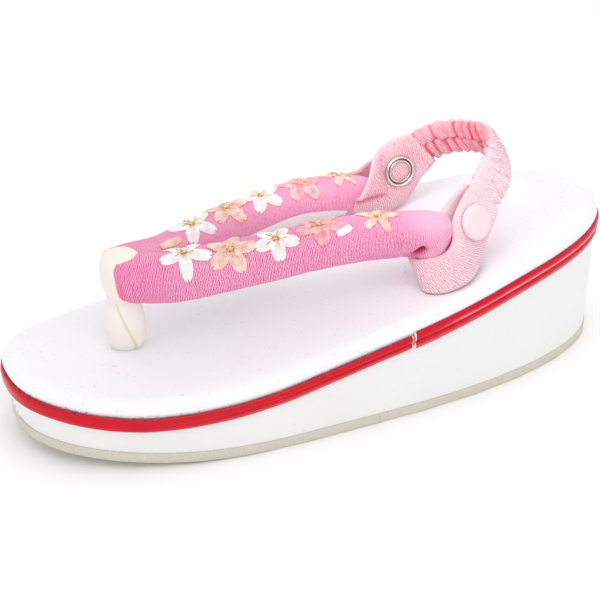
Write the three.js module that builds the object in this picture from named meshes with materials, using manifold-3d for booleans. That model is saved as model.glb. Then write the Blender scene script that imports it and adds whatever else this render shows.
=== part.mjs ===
// A child's zori, the Japanese thonged sandal, with a wedge sole and a gathered heel band.
// Millimetres, +Z up, standing on the floor at z = 0. The toe points to -X and the heel to +X.
// The sandal is the same on both sides of its length, so -Y is called left and +Y right.

import * as THREE from "three";
import { mergeVertices } from "three/addons/utils/BufferGeometryUtils.js";
import Module from "manifold-3d";

const wasm = await Module();
wasm.setup();

// Sole plan: two half superellipses on a short parallel waist
const soleHalfLength = 95;
const soleHalfWidth = 38.4;
const toeArcStart = -16;
const toeRoundness = 2.32;
const heelArcStart = 2;
const heelRoundness = 2.35;
const outlinePoints = 96;

// Sole heights: the red band's lower edge rises from the ball to the heel
const bandHeights = [
  { x: -95, low: 16.7 },
  { x: -65, low: 12.6 },
  { x: -35, low: 14.1 },
  { x: -5, low: 19.5 },
  { x: 25, low: 25.2 },
  { x: 55, low: 31.4 },
  { x: 95, low: 36.1 },
];
const outsoleThickness = 3.1;
const toeSpring = 5.7;
const toeSpringStart = -25;
const wallLeanStart = -40;
const seatGap = 0.3;

// Side walls: how far each layer stands inside the outline
const wallInset = 1.3;
const wallLeanSide = 0.1;
const wallLeanToe = 1.3;
const outsoleProud = 0.4;
const outsoleEdgeInset = 0.5;
const outsoleEdgeTall = 0.8;

// Red band: one strip round the edge, its ends meeting on the left side
const bandJointX = 12;
const bandJointGap = 0.7;
const bandTallAtHeelEnd = 5.2;
const bandTallAtToeEnd = 3.8;
const bandInnerInset = 0.95;
const bandProfile = [
  { out: 0, up: 0 },
  { out: 0.55, up: 0 },
  { out: 0.8, up: 0.14 },
  { out: 0.75, up: 0.3 },
  { out: 0.4, up: 0.38 },
  { out: 0.75, up: 0.48 },
  { out: 0.95, up: 0.7 },
  { out: 0.7, up: 0.92 },
  { out: 0.3, up: 1 },
  { out: 0, up: 1 },
];

// Footbed: a pillow edge above the band, then an almost flat top
const footbedTall = 5.0;
const pillowRows = [
  { inset: 1.3, up: 0.8 },
  { inset: 0.9, up: 1.5 },
  { inset: 1.2, up: 2.7 },
  { inset: 2.3, up: 3.8 },
  { inset: 3.8, up: 4.6 },
  { inset: 6.5, up: 5.0 },
];
const crownScaleLong = 0.85;
const crownScaleWide = 0.5;
const crownRise = 0.2;
const socketDepth = 4.5;

// Thong straps: one row for each section, from the front fold to the rear bulge
const strapRows = [
  { x: -63.0, out: 2.4, z: 44.1, wide: 4.6, tall: 5.4 },
  { x: -61.6, out: 2.7, z: 44.0, wide: 5.5, tall: 6.4 },
  { x: -57.6, out: 3.5, z: 43.7, wide: 6.0, tall: 6.9 },
  { x: -45.0, out: 5.8, z: 43.3, wide: 6.5, tall: 7.0 },
  { x: -25.0, out: 10.8, z: 45.8, wide: 6.6, tall: 6.7 },
  { x: -5.0, out: 14.2, z: 47.8, wide: 6.6, tall: 6.6 },
  { x: 10.0, out: 16.2, z: 48.4, wide: 6.6, tall: 6.6 },
  { x: 19.0, out: 18.8, z: 48.1, wide: 6.5, tall: 6.5 },
  { x: 24.8, out: 21.3, z: 47.7, wide: 6.2, tall: 6.2 },
  { x: 28.6, out: 22.8, z: 47.4, wide: 4.9, tall: 4.9 },
  { x: 30.4, out: 23.5, z: 47.2, wide: 2.4, tall: 2.5 },
];
const strapSectionPoints = 14;
const strapRoundness = 2.3;
const strapSteps = 26;
const strapStem = { radius: 3.2, top: { x: 26.8, out: 21.6, z: 45.5 }, foot: { x: 28.8, out: 27.6, z: 31 } };

// Toe post: a bulging stem with a loop round the front of both straps
const postX = -59.7;
const postStemRows = [
  { z: 23.0, radius: 4.7 },
  { z: 25.0, radius: 5.4 },
  { z: 28.5, radius: 5.9 },
  { z: 32.5, radius: 5.7 },
  { z: 37.0, radius: 4.9 },
];
const postLoop = { x: -58.9, z: 43.4, halfLong: 5.3, halfTall: 6.8, roundness: 2.6 };
const postLoopRows = [
  { angle: 0, wide: 5, thick: 2.6 },
  { angle: 90, wide: 9.4, thick: 2.6 },
  { angle: 180, wide: 12, thick: 2.8 },
  { angle: 270, wide: 10, thick: 3 },
  { angle: 360, wide: 5, thick: 2.6 },
];
const postLoopSteps = 28;
const postLoopSectionPoints = 10;
const postLoopSectionRoundness = 3;

// Heel tabs: a strip folded round the strap's stem, one row for each place along it.
// low and high are the strip's two edges; the strip runs outside, round the front, then inside.
// rise is how much further the upper edge stands up on the right tab, whose fold is looser,
// and lift how much higher its lower edge lies.
const tabRows = [
  { low: [50.0, 18.8, 50.5], high: [42.0, 17.6, 59.9], rise: [0, 0, 1.6], lift: 1.5 },
  { low: [44.0, 22.6, 44.4], high: [36.0, 21.4, 53.8], rise: [0, -0.3, 2.0], lift: 0.6 },
  { low: [40.4, 25.0, 40.8], high: [33.8, 24.0, 49.0], rise: [0, -2.6, 4.4], lift: 0 },
  { low: [36.6, 29.2, 38.6], high: [32.0, 26.8, 47.0], rise: [0, -1.7, 4.2], lift: 0 },
  { low: [32.0, 32.4, 36.4], high: [29.4, 27.6, 44.6], rise: [0, 1.6, 4.6], lift: 0 },
  { low: [26.5, 32.2, 34.7], high: [25.4, 26.9, 43.1], rise: [0, 2.6, 4.2], lift: 0 },
  { low: [22.6, 30.2, 34.0], high: [21.2, 24.8, 41.8], rise: [0, 1.6, 1.6], lift: 0 },
  { low: [21.2, 27.4, 33.8], high: [19.4, 22.0, 40.6], rise: [0, 0, 0], lift: 0 },
  { low: [22.8, 24.2, 34.2], high: [20.0, 18.4, 40.3], rise: [0, 0, 0], lift: 0 },
  { low: [27.5, 21.2, 35.3], high: [23.0, 13.4, 43.3], rise: [-1.6, -2.8, 1.6], lift: 0 },
  { low: [33.5, 20.5, 37.6], high: [29.8, 14.8, 47.5], rise: [-4.6, -3.2, 4.6], lift: 0 },
  { low: [39.4, 23.3, 40.4], high: [32.2, 19.3, 51.5], rise: [-2.0, -1.4, 4.6], lift: 0 },
  { low: [43.5, 20.7, 43.8], high: [34.4, 19.0, 55.0], rise: [-0.8, -0.2, 4.6], lift: 0.4 },
  { low: [49.5, 16.9, 49.9], high: [40.6, 15.6, 60.4], rise: [-0.6, 0, 2.2], lift: 1.5 },
];
const tabThickness = 1.6;
const tabStepsPerRow = 3;
const tabCapRow = 1;
const tabRingRow = tabRows.length - 2;
const tabEdgeCut = 0.4;

// Snap fastener through both layers of each tab
const snapCapRadius = 5.35;
const snapCapRows = [
  { inset: 0.3, up: 0 },
  { inset: 0, up: 0.5 },
  { inset: 0.4, up: 1.3 },
  { inset: 1.4, up: 1.7 },
];
const snapRingOuter = 4.9;
const snapRingInner = 3.7;
const snapRingTall = 0.9;
const snapRingEdgeTall = 0.45;
const snapSides = 20;
const snapCapSeat = 0.4;
const snapRingSeat = 0.9;
const snapBedGap = 0.2;
const snapBedTall = 4;

// Heel band: a gathered elastic tube from one tab round to the other.
// rise is how much higher it stands on the right.
const heelBandRows = [
  { x: 46.1, out: 16.9, z: 55.4, lean: 40, rise: 1.9 },
  { x: 51.4, out: 14.0, z: 59.2, lean: 38, rise: 1.2 },
  { x: 55.8, out: 9.0, z: 61.8, lean: 34, rise: 0.4 },
  { x: 58.2, out: 4.2, z: 63.0, lean: 31, rise: 0 },
  { x: 58.9, out: 0, z: 63.4, lean: 30, rise: 0 },
];
const heelBandHalfWide = 6.1;
const heelBandHalfThick = 2.1;
const heelBandGathers = 17;
const heelBandSteps = 68;
const gatherDepthWide = 0.05;
const gatherDepthThick = 0.16;
const heelBandSectionPoints = 12;
const heelBandRoundness = 2.6;

// Fineness of the round pieces and of the curves
const pegSides = 20;
const tangentStep = 0.05;
const angleStep = 0.01;
const weldDistance = 1e-4;

// Finishes
const finishes = {
  outsole: { color: 0xd6d1c4, roughness: 0.8 },
  sideWrap: { color: 0xeeeeee, roughness: 0.35 },
  footbed: { color: 0xf3f1f7, roughness: 0.3 },
  redBand: { color: 0xd20a2a, roughness: 0.2 },
  pinkCrepe: { color: 0xee6fb0, roughness: 0.7 },
  paleCrepe: { color: 0xf7c6d0, roughness: 0.8 },
  creamVelvet: { color: 0xf5f0e4, roughness: 0.9 },
  snapCap: { color: 0xfadee4, roughness: 0.35 },
  snapRing: { color: 0xc8c8cc, roughness: 0.25, metalness: 1 },
};

// Tables and curves

// A smooth value of one column at x, through the rows of a table sorted by x
function valueAt(rows, column, x) {
  const last = rows.length - 1;
  const clamped = THREE.MathUtils.clamp(x, rows[0].x, rows[last].x);
  let row = 0;
  while (row < last - 1 && clamped > rows[row + 1].x) row += 1;
  const slope = (a, b) => (rows[b][column] - rows[a][column]) / (rows[b].x - rows[a].x);
  const span = rows[row + 1].x - rows[row].x;
  const t = (clamped - rows[row].x) / span;
  const startSlope = slope(Math.max(row - 1, 0), row + 1) * span;
  const endSlope = slope(row, Math.min(row + 2, last)) * span;
  const start = rows[row][column];
  const end = rows[row + 1][column];
  const bend = 2 * start - 2 * end + startSlope + endSlope;
  const sway = -3 * start + 3 * end - 2 * startSlope - endSlope;
  return ((bend * t + sway) * t + startSlope) * t + start;
}

// The value of one column at a row number that need not be whole
function valueAtRow(rows, column, position) {
  const numbered = rows.map((row, index) => ({ x: index, value: row[column] }));
  return valueAt(numbered, "value", position);
}

// A point of a superellipse of half size 1
function superPoint(angle, roundness) {
  const power = 2 / roundness;
  const c = Math.cos(angle);
  const s = Math.sin(angle);
  return {
    c: Math.sign(c) * Math.abs(c) ** power,
    s: Math.sign(s) * Math.abs(s) ** power,
  };
}

// Closed surfaces

function geometryFrom(points, faces) {
  const geometry = new THREE.BufferGeometry();
  const flat = points.flatMap((point) => [point.x, point.y, point.z]);
  geometry.setAttribute("position", new THREE.Float32BufferAttribute(flat, 3));
  let volume = 0;
  for (const [a, b, c] of faces) {
    const cross = new THREE.Vector3().crossVectors(points[b], points[c]);
    volume += points[a].dot(cross);
  }
  const outward = volume > 0 ? faces : faces.map(([a, b, c]) => [a, c, b]);
  geometry.setIndex(outward.flat());
  return geometry;
}

// Walls between neighbouring sections of equal point count
function wallFaces(sectionCount, pointCount, ringClosed) {
  const faces = [];
  const bands = ringClosed ? sectionCount : sectionCount - 1;
  for (let i = 0; i < bands; i += 1) {
    const here = i * pointCount;
    const next = ((i + 1) % sectionCount) * pointCount;
    for (let j = 0; j < pointCount; j += 1) {
      const k = (j + 1) % pointCount;
      faces.push([here + j, here + k, next + k]);
      faces.push([here + j, next + k, next + j]);
    }
  }
  return faces;
}

// A solid through sections, with fan ends, or closed on itself as a ring
function loftSolid(sections, ringClosed = false) {
  const count = sections[0].length;
  const points = sections.flat();
  const faces = wallFaces(sections.length, count, ringClosed);
  if (!ringClosed) {
    const ends = [
      { section: sections[0], start: 0, turned: true },
      { section: sections[sections.length - 1], start: points.length - count, turned: false },
    ];
    for (const end of ends) {
      const middle = new THREE.Vector3();
      end.section.forEach((point) => middle.addScaledVector(point, 1 / count));
      points.push(middle);
      const hub = points.length - 1;
      for (let j = 0; j < count; j += 1) {
        const a = end.start + j;
        const b = end.start + ((j + 1) % count);
        faces.push(end.turned ? [hub, b, a] : [hub, a, b]);
      }
    }
  }
  return geometryFrom(points, faces);
}

// A solid of stacked sole outlines, closed above and below by strips from left to right
function soleSolid(rings) {
  const count = outlinePoints;
  const points = rings.flat();
  const faces = wallFaces(rings.length, count, false);
  const caps = [
    { start: 0, turned: true },
    { start: points.length - count, turned: false },
  ];
  for (const cap of caps) {
    for (let j = 0; j < count / 2 - 1; j += 1) {
      const a = cap.start + j;
      const b = cap.start + j + 1;
      const c = cap.start + count - 2 - j;
      const d = cap.start + count - 1 - j;
      faces.push(cap.turned ? [a, c, b] : [a, b, c]);
      faces.push(cap.turned ? [a, d, c] : [a, c, d]);
    }
  }
  return geometryFrom(points, faces);
}

// Joins and cuts

function solidOf(geometry) {
  const bare = geometry.clone();
  bare.deleteAttribute("normal");
  bare.deleteAttribute("uv");
  const merged = mergeVertices(bare, weldDistance);
  const mesh = new wasm.Mesh({
    numProp: 3,
    vertProperties: new Float32Array(merged.attributes.position.array),
    triVerts: new Uint32Array(merged.index.array),
  });
  return new wasm.Manifold(mesh);
}

function geometryOf(solid) {
  const mesh = solid.getMesh();
  const geometry = new THREE.BufferGeometry();
  geometry.setAttribute("position", new THREE.Float32BufferAttribute(mesh.vertProperties, 3));
  geometry.setIndex(Array.from(mesh.triVerts));
  return geometry;
}

// Sole outline

function outlineAt(angle) {
  const heelSide = Math.cos(angle) > 0;
  const { c, s } = superPoint(angle, heelSide ? heelRoundness : toeRoundness);
  const start = heelSide ? heelArcStart : toeArcStart;
  const reach = heelSide ? soleHalfLength - heelArcStart : soleHalfLength + toeArcStart;
  return new THREE.Vector2(start + reach * c, soleHalfWidth * s);
}

function insetOutline(angle, inset) {
  const along = outlineAt(angle + angleStep).sub(outlineAt(angle - angleStep)).normalize();
  const outward = new THREE.Vector2(along.y, -along.x);
  return outlineAt(angle).addScaledVector(outward, -inset);
}

function outlineAngles() {
  const angles = [];
  for (let j = 0; j < outlinePoints; j += 1) {
    angles.push(((j + 0.5) / outlinePoints) * 2 * Math.PI);
  }
  return angles;
}

function soleRing(insetAt, heightAt) {
  return outlineAngles().map((angle) => {
    const plan = insetOutline(angle, insetAt(outlineAt(angle).x));
    return new THREE.Vector3(plan.x, plan.y, heightAt(plan.x));
  });
}

function bandLow(x) {
  return valueAt(bandHeights, "low", x);
}

function springAt(x) {
  const toward = Math.max(0, toeSpringStart - x) / (toeSpringStart + soleHalfLength);
  return toeSpring * toward ** 2;
}

function wallLean(x) {
  const toward = THREE.MathUtils.smoothstep(-x, -wallLeanStart, soleHalfLength);
  return wallLeanSide + (wallLeanToe - wallLeanSide) * toward;
}

function footbedTop(x) {
  return bandLow(x) + bandTallAtToeEnd + footbedTall + crownRise;
}

// Sole pieces

function makeOutsole() {
  const inset = (x) => wallInset + wallLean(x) - outsoleProud;
  const bottom = soleRing((x) => inset(x) + outsoleEdgeInset, springAt);
  const lowerEdge = soleRing(inset, (x) => springAt(x) + outsoleEdgeTall);
  const upperEdge = soleRing(inset, (x) => springAt(x) + outsoleThickness);
  return soleSolid([bottom, lowerEdge, upperEdge]);
}

function makeWedge() {
  const bottom = soleRing((x) => wallInset + wallLean(x), (x) => springAt(x) + outsoleThickness + seatGap);
  const top = soleRing(() => wallInset, (x) => bandLow(x) + bandTallAtToeEnd / 2 - seatGap);
  return soleSolid([bottom, top]);
}

// A round peg between two points, for a stem or for the socket that takes it
function peg(top, foot, radius) {
  const axis = new THREE.Vector3().subVectors(top, foot);
  const geometry = new THREE.CylinderGeometry(radius, radius, axis.length(), pegSides);
  const along = axis.clone().normalize();
  const turn = new THREE.Quaternion().setFromUnitVectors(new THREE.Vector3(0, 1, 0), along);
  geometry.applyQuaternion(turn);
  const middle = new THREE.Vector3().addVectors(top, foot).multiplyScalar(0.5);
  geometry.translate(middle.x, middle.y, middle.z);
  return solidOf(geometry);
}

function strapStemEnd(end, side) {
  return new THREE.Vector3(end.x, side * end.out, end.z);
}

function strapSocket(side) {
  const foot = strapStemEnd(strapStem.foot, side);
  const top = strapStemEnd(strapStem.top, side);
  const deeper = foot.clone().sub(top).setLength(seatGap);
  return peg(top, foot.add(deeper), strapStem.radius + seatGap);
}

function postSocket() {
  const top = new THREE.Vector3(postX, 0, postStemRows[1].z);
  const foot = new THREE.Vector3(postX, 0, footbedTop(postX) - socketDepth);
  return peg(top, foot, postStemRows[0].radius + seatGap);
}

function makeFootbed() {
  const rings = [soleRing(() => wallInset, (x) => bandLow(x) + bandTallAtToeEnd / 2)];
  for (const row of pillowRows) {
    rings.push(soleRing(() => row.inset, (x) => bandLow(x) + bandTallAtToeEnd + row.up));
  }
  const rim = rings[rings.length - 1];
  rings.push(rim.map((point) => {
    const x = point.x * crownScaleLong;
    return new THREE.Vector3(x, point.y * crownScaleWide, footbedTop(x));
  }));
  let solid = solidOf(soleSolid(rings));
  for (const side of [-1, 1]) solid = solid.subtract(strapSocket(side));
  return geometryOf(solid.subtract(postSocket()));
}

function makeEdgeBand() {
  const reach = (bandJointX - heelArcStart) / (soleHalfLength - heelArcStart);
  const joint = 2 * Math.PI - Math.acos(reach ** (heelRoundness / 2));
  const halfGap = bandJointGap / 2 / soleHalfWidth;
  const start = joint + halfGap - 2 * Math.PI;
  const end = joint - halfGap;
  const inner = outlineAngles()
    .flatMap((angle) => [angle - 2 * Math.PI, angle])
    .filter((angle) => angle > start + angleStep && angle < end - angleStep)
    .sort((a, b) => a - b);
  const angles = [start, ...inner, end];
  const sections = angles.map((angle) => {
    const along = (angle - start) / (end - start);
    const tall = THREE.MathUtils.lerp(bandTallAtHeelEnd, bandTallAtToeEnd, along);
    const middle = bandTallAtToeEnd / 2;
    return bandProfile.map((corner) => {
      const plan = insetOutline(angle, bandInnerInset - corner.out);
      const height = bandLow(plan.x) + middle + (corner.up - 0.5) * tall;
      return new THREE.Vector3(plan.x, plan.y, height);
    });
  });
  return loftSolid(sections);
}

// Thong straps

// Sections of an oval tube along a row table, for one side of the sandal
function strapSections(side) {
  const last = strapRows.length - 1;
  const centreAt = (position) => new THREE.Vector3(
    valueAtRow(strapRows, "x", position),
    side * valueAtRow(strapRows, "out", position),
    valueAtRow(strapRows, "z", position),
  );
  const sections = [];
  for (let i = 0; i <= strapSteps; i += 1) {
    const position = (i / strapSteps) * last;
    const ahead = centreAt(Math.min(position + tangentStep, last));
    const tangent = ahead.sub(centreAt(Math.max(position - tangentStep, 0))).normalize();
    const across = new THREE.Vector3().crossVectors(tangent, new THREE.Vector3(0, 0, 1)).normalize();
    const up = new THREE.Vector3().crossVectors(across, tangent);
    const wide = valueAtRow(strapRows, "wide", position);
    const tall = valueAtRow(strapRows, "tall", position);
    const section = [];
    for (let j = 0; j < strapSectionPoints; j += 1) {
      const { c, s } = superPoint((j / strapSectionPoints) * 2 * Math.PI, strapRoundness);
      section.push(centreAt(position).addScaledVector(across, wide * c).addScaledVector(up, tall * s));
    }
    sections.push(section);
  }
  return sections;
}

function makeThongStraps() {
  let solid = solidOf(loftSolid(strapSections(-1)));
  solid = solid.add(solidOf(loftSolid(strapSections(1))));
  for (const side of [-1, 1]) {
    const top = strapStemEnd(strapStem.top, side);
    solid = solid.add(peg(top, strapStemEnd(strapStem.foot, side), strapStem.radius));
  }
  return geometryOf(solid.subtract(solidOf(postLoopGeometry(seatGap))));
}

// Toe post

function postLoopGeometry(swell = 0) {
  const rows = postLoopRows.map((row) => ({ ...row, x: row.angle }));
  const sections = [];
  for (let i = 0; i < postLoopSteps; i += 1) {
    const degrees = (i / postLoopSteps) * 360;
    const { c, s } = superPoint(THREE.MathUtils.degToRad(degrees), postLoop.roundness);
    const wide = valueAt(rows, "wide", degrees) / 2 + swell;
    const thick = valueAt(rows, "thick", degrees) / 2 + swell;
    const away = new THREE.Vector3(c / postLoop.halfLong, 0, s / postLoop.halfTall).normalize();
    const centre = new THREE.Vector3(
      postLoop.x + postLoop.halfLong * c,
      0,
      postLoop.z + postLoop.halfTall * s,
    );
    const section = [];
    for (let j = 0; j < postLoopSectionPoints; j += 1) {
      const turn = (j / postLoopSectionPoints) * 2 * Math.PI;
      const corner = superPoint(turn, postLoopSectionRoundness);
      const point = centre.clone().addScaledVector(away, thick * corner.c);
      point.y += wide * corner.s;
      section.push(point);
    }
    sections.push(section);
  }
  return loftSolid(sections, true);
}

function makeToePost() {
  const bottom = footbedTop(postX) - socketDepth + seatGap;
  const profile = [
    new THREE.Vector2(0, bottom),
    new THREE.Vector2(postStemRows[0].radius, bottom),
    ...postStemRows.map((row) => new THREE.Vector2(row.radius, row.z)),
    new THREE.Vector2(0, postStemRows[postStemRows.length - 1].z),
  ];
  const stem = new THREE.LatheGeometry(profile, pegSides);
  stem.rotateX(Math.PI / 2);
  stem.translate(postX, 0, 0);
  return geometryOf(solidOf(stem).add(solidOf(postLoopGeometry())));
}

// Heel tabs

function tabEdge(side, edge, position) {
  const rows = tabRows.map((row) => {
    const looser = edge === "high" ? row.rise : [0, 0, row.lift];
    const [x, y, z] = row[edge].map((value, axis) => (side > 0 ? value + looser[axis] : value));
    return { x, y, z };
  });
  return new THREE.Vector3(
    valueAtRow(rows, "x", position),
    side * valueAtRow(rows, "y", position),
    valueAtRow(rows, "z", position),
  );
}

// The strip at one place along it: its middle, the way across it and the way out of its face
function tabPlace(side, position) {
  const last = tabRows.length - 1;
  const middleAt = (place) => {
    const edges = tabEdge(side, "low", place).add(tabEdge(side, "high", place));
    return edges.multiplyScalar(0.5);
  };
  const low = tabEdge(side, "low", position);
  const high = tabEdge(side, "high", position);
  const ahead = middleAt(Math.min(position + tangentStep, last));
  const tangent = ahead.sub(middleAt(Math.max(position - tangentStep, 0))).normalize();
  const across = high.clone().sub(low).normalize();
  const outward = new THREE.Vector3().crossVectors(across, tangent).normalize().multiplyScalar(-side);
  return { low, high, across, outward, middle: middleAt(position) };
}

function makeTab(side) {
  const steps = (tabRows.length - 1) * tabStepsPerRow;
  const half = tabThickness / 2;
  const sections = [];
  for (let i = 0; i <= steps; i += 1) {
    const { low, high, across, outward } = tabPlace(side, i / tabStepsPerRow);
    const corner = (edge, inward, away) =>
      edge.clone().addScaledVector(across, inward).addScaledVector(outward, away);
    sections.push([
      corner(low, tabEdgeCut, -half),
      corner(low, 0, -half + tabEdgeCut),
      corner(low, 0, half - tabEdgeCut),
      corner(low, tabEdgeCut, half),
      corner(high, -tabEdgeCut, half),
      corner(high, 0, half - tabEdgeCut),
      corner(high, 0, -half + tabEdgeCut),
      corner(high, -tabEdgeCut, -half),
    ]);
  }
  return geometryOf(solidOf(loftSolid(sections)).subtract(snapBed(side)));
}

// The room that the ring's flange presses into the cloth of the inner layer
function snapBed(side) {
  const { middle, outward } = tabPlace(side, tabRingRow);
  const foot = middle.clone().addScaledVector(outward, tabThickness / 2 + snapRingSeat - snapBedGap);
  const top = foot.clone().addScaledVector(outward, snapBedTall);
  return peg(top, foot, snapRingOuter + snapBedGap);
}

// Snap fasteners

// Stand a turned piece on a tab's face, its axis along the face's outward direction
function seatOnTab(geometry, place, gap) {
  const turn = new THREE.Quaternion().setFromUnitVectors(new THREE.Vector3(0, 1, 0), place.outward);
  geometry.applyQuaternion(turn);
  const foot = place.middle.clone().addScaledVector(place.outward, tabThickness / 2 + gap);
  geometry.translate(foot.x, foot.y, foot.z);
  return geometry;
}

function makeSnapCap(side) {
  const profile = [
    new THREE.Vector2(0, snapCapRows[0].up),
    ...snapCapRows.map((row) => new THREE.Vector2(snapCapRadius - row.inset, row.up)),
    new THREE.Vector2(0, snapCapRows[snapCapRows.length - 1].up),
  ];
  return seatOnTab(new THREE.LatheGeometry(profile, snapSides), tabPlace(side, tabCapRow), snapCapSeat);
}

function makeSnapRing(side) {
  const middle = (snapRingOuter + snapRingInner) / 2;
  const profile = [
    new THREE.Vector2(snapRingInner, 0),
    new THREE.Vector2(snapRingOuter, 0),
    new THREE.Vector2(snapRingOuter, snapRingEdgeTall),
    new THREE.Vector2(middle, snapRingTall),
    new THREE.Vector2(snapRingInner, snapRingEdgeTall),
    new THREE.Vector2(snapRingInner, 0),
  ];
  return seatOnTab(new THREE.LatheGeometry(profile, snapSides), tabPlace(side, tabRingRow), snapRingSeat);
}

// Heel band

function makeHeelBand() {
  const mirrored = heelBandRows
    .slice(0, -1)
    .reverse()
    .map((row) => ({ ...row, out: -row.out, z: row.z + row.rise }));
  const rows = [...heelBandRows, ...mirrored];
  const last = rows.length - 1;
  const centreAt = (position) => new THREE.Vector3(
    valueAtRow(rows, "x", position),
    -valueAtRow(rows, "out", position),
    valueAtRow(rows, "z", position),
  );
  const sections = [];
  for (let i = 0; i <= heelBandSteps; i += 1) {
    const along = i / heelBandSteps;
    const position = along * last;
    const ahead = centreAt(Math.min(position + tangentStep, last));
    const tangent = ahead.sub(centreAt(Math.max(position - tangentStep, 0))).normalize();
    const lean = THREE.MathUtils.degToRad(valueAtRow(rows, "lean", position));
    const across = new THREE.Vector3(-Math.sin(lean), 0, Math.cos(lean));
    across.addScaledVector(tangent, -across.dot(tangent)).normalize();
    const outward = new THREE.Vector3().crossVectors(across, tangent);
    const gather = Math.cos(along * heelBandGathers * 2 * Math.PI);
    const wide = heelBandHalfWide * (1 - gatherDepthWide * gather);
    const thick = heelBandHalfThick * (1 - gatherDepthThick * gather);
    const section = [];
    for (let j = 0; j < heelBandSectionPoints; j += 1) {
      const { c, s } = superPoint((j / heelBandSectionPoints) * 2 * Math.PI, heelBandRoundness);
      section.push(centreAt(position).addScaledVector(across, wide * c).addScaledVector(outward, thick * s));
    }
    sections.push(section);
  }
  return loftSolid(sections);
}

// Assembly

const zori = new THREE.Group();

function addPiece(name, geometry, finish) {
  const mesh = new THREE.Mesh(geometry, new THREE.MeshStandardMaterial(finish));
  mesh.name = name;
  zori.add(mesh);
}

addPiece("outsole", makeOutsole(), finishes.outsole);
addPiece("wedge_base", makeWedge(), finishes.sideWrap);
addPiece("footbed", makeFootbed(), finishes.footbed);
addPiece("edge_band", makeEdgeBand(), finishes.redBand);
addPiece("thong_straps", makeThongStraps(), finishes.pinkCrepe);
addPiece("toe_post", makeToePost(), finishes.creamVelvet);
addPiece("heel_band", makeHeelBand(), finishes.paleCrepe);
for (const [label, side] of [["left", -1], ["right", 1]]) {
  addPiece(`heel_tab_${label}`, makeTab(side), finishes.paleCrepe);
  addPiece(`snap_cap_${label}`, makeSnapCap(side), finishes.snapCap);
  addPiece(`snap_ring_${label}`, makeSnapRing(side), finishes.snapRing);
}

export default zori;
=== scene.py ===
import math

import bmesh
import bpy
import numpy as np
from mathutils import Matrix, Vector, noise


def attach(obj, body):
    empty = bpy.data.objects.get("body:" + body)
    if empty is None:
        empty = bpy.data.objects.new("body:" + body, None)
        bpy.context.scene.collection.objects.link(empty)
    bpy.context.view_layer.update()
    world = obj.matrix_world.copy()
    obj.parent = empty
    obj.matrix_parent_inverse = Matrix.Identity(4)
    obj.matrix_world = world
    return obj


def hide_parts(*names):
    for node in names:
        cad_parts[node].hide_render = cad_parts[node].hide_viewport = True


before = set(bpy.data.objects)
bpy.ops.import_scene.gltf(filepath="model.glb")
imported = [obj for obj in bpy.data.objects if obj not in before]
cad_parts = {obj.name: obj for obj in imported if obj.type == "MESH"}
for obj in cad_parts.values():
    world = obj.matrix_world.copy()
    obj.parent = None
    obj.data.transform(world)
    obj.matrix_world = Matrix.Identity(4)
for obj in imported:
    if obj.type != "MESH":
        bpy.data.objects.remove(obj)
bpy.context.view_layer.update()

mm = 0.001  # tables below are in millimetres, meshes in metres
sideName = {-1: "left", 1: "right"}


def curveThrough(keys, rows, places):
    # smooth curve through the rows of a table, read at any place between its keys
    keys = np.asarray(keys, float)
    rows = np.asarray(rows, float).reshape(len(keys), -1)
    places = np.clip(np.asarray(places, float), keys[0], keys[-1])
    i = np.clip(np.searchsorted(keys, places) - 1, 0, len(keys) - 2)
    before = np.maximum(i - 1, 0)
    after = np.minimum(i + 2, len(keys) - 1)
    span = (keys[i + 1] - keys[i])[..., None]
    t = (places - keys[i])[..., None] / span
    a, b = rows[i], rows[i + 1]
    slopeA = (b - rows[before]) / (keys[i + 1] - keys[before])[..., None] * span
    slopeB = (rows[after] - a) / (keys[after] - keys[i])[..., None] * span
    bend = 2 * a - 2 * b + slopeA + slopeB
    sway = 3 * b - 3 * a - 2 * slopeA - slopeB
    return ((bend * t + sway) * t + slopeA) * t + a


def tableAt(rows, places):
    return curveThrough(range(len(rows)), rows, places)


def runAlong(path):
    # length along a path at each of its points
    return np.concatenate([[0], np.cumsum(np.linalg.norm(np.diff(path, axis=0), axis=1))])


def evenPlaces(rows, count):
    # row numbers that step evenly along the path in the first three columns, and the length at each
    fine = np.linspace(0, len(rows) - 1, 1500)
    run = runAlong(tableAt(rows, fine)[:, :3])
    lengths = np.linspace(0, run[-1], count)
    return np.interp(lengths, run, fine), lengths


def unit(vectors):
    return vectors / np.linalg.norm(vectors, axis=-1, keepdims=True)


def spread(ways, amounts):
    # one direction for each row, times the amounts along that row
    return ways[:, None] * amounts[..., None]


def smoothStep(low, high, x):
    t = np.clip((np.asarray(x, float) - low) / (high - low), 0, 1)
    return t * t * (3 - 2 * t)


def hill(x, middle, size):
    # a soft bump, 1 at its middle
    return np.exp(-((x - middle) / size) ** 2)


def squircle(turn, roundness):
    # cosine and sine of a turn, pushed out towards a square
    c, s = np.cos(turn), np.sin(turn)
    power = 2 / roundness
    return np.sign(c) * np.abs(c) ** power, np.sign(s) * np.abs(s) ** power


def superLoop(count, roundness, startDegrees=0):
    # points evenly spaced round a superellipse of half size 1, and the share of the way round
    x, y = squircle(np.radians(startDegrees) + np.linspace(0, 2 * np.pi, 2401), roundness)
    run = runAlong(np.stack([x, y], -1))
    share = np.arange(count) / count
    return np.interp(share * run[-1], run, x), np.interp(share * run[-1], run, y), share


def wander(size, seed, *axes):
    # soft noise from -1 to 1 over one to three axes, size is the patch in their units
    axes = np.broadcast_arrays(*axes)
    flat = [axis.ravel() / size for axis in axes] + [np.zeros(axes[0].size)] * (3 - len(axes))
    start = Vector((seed, 3.7, 1.3))
    return np.array([noise.noise(Vector(p) + start) for p in zip(*flat)]).reshape(axes[0].shape)


def gridNormals(points):
    # unit normals of a grid that closes in its second direction
    along = np.gradient(points, axis=0)
    around = np.roll(points, -1, axis=1) - np.roll(points, 1, axis=1)
    return unit(np.cross(around, along))


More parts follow.
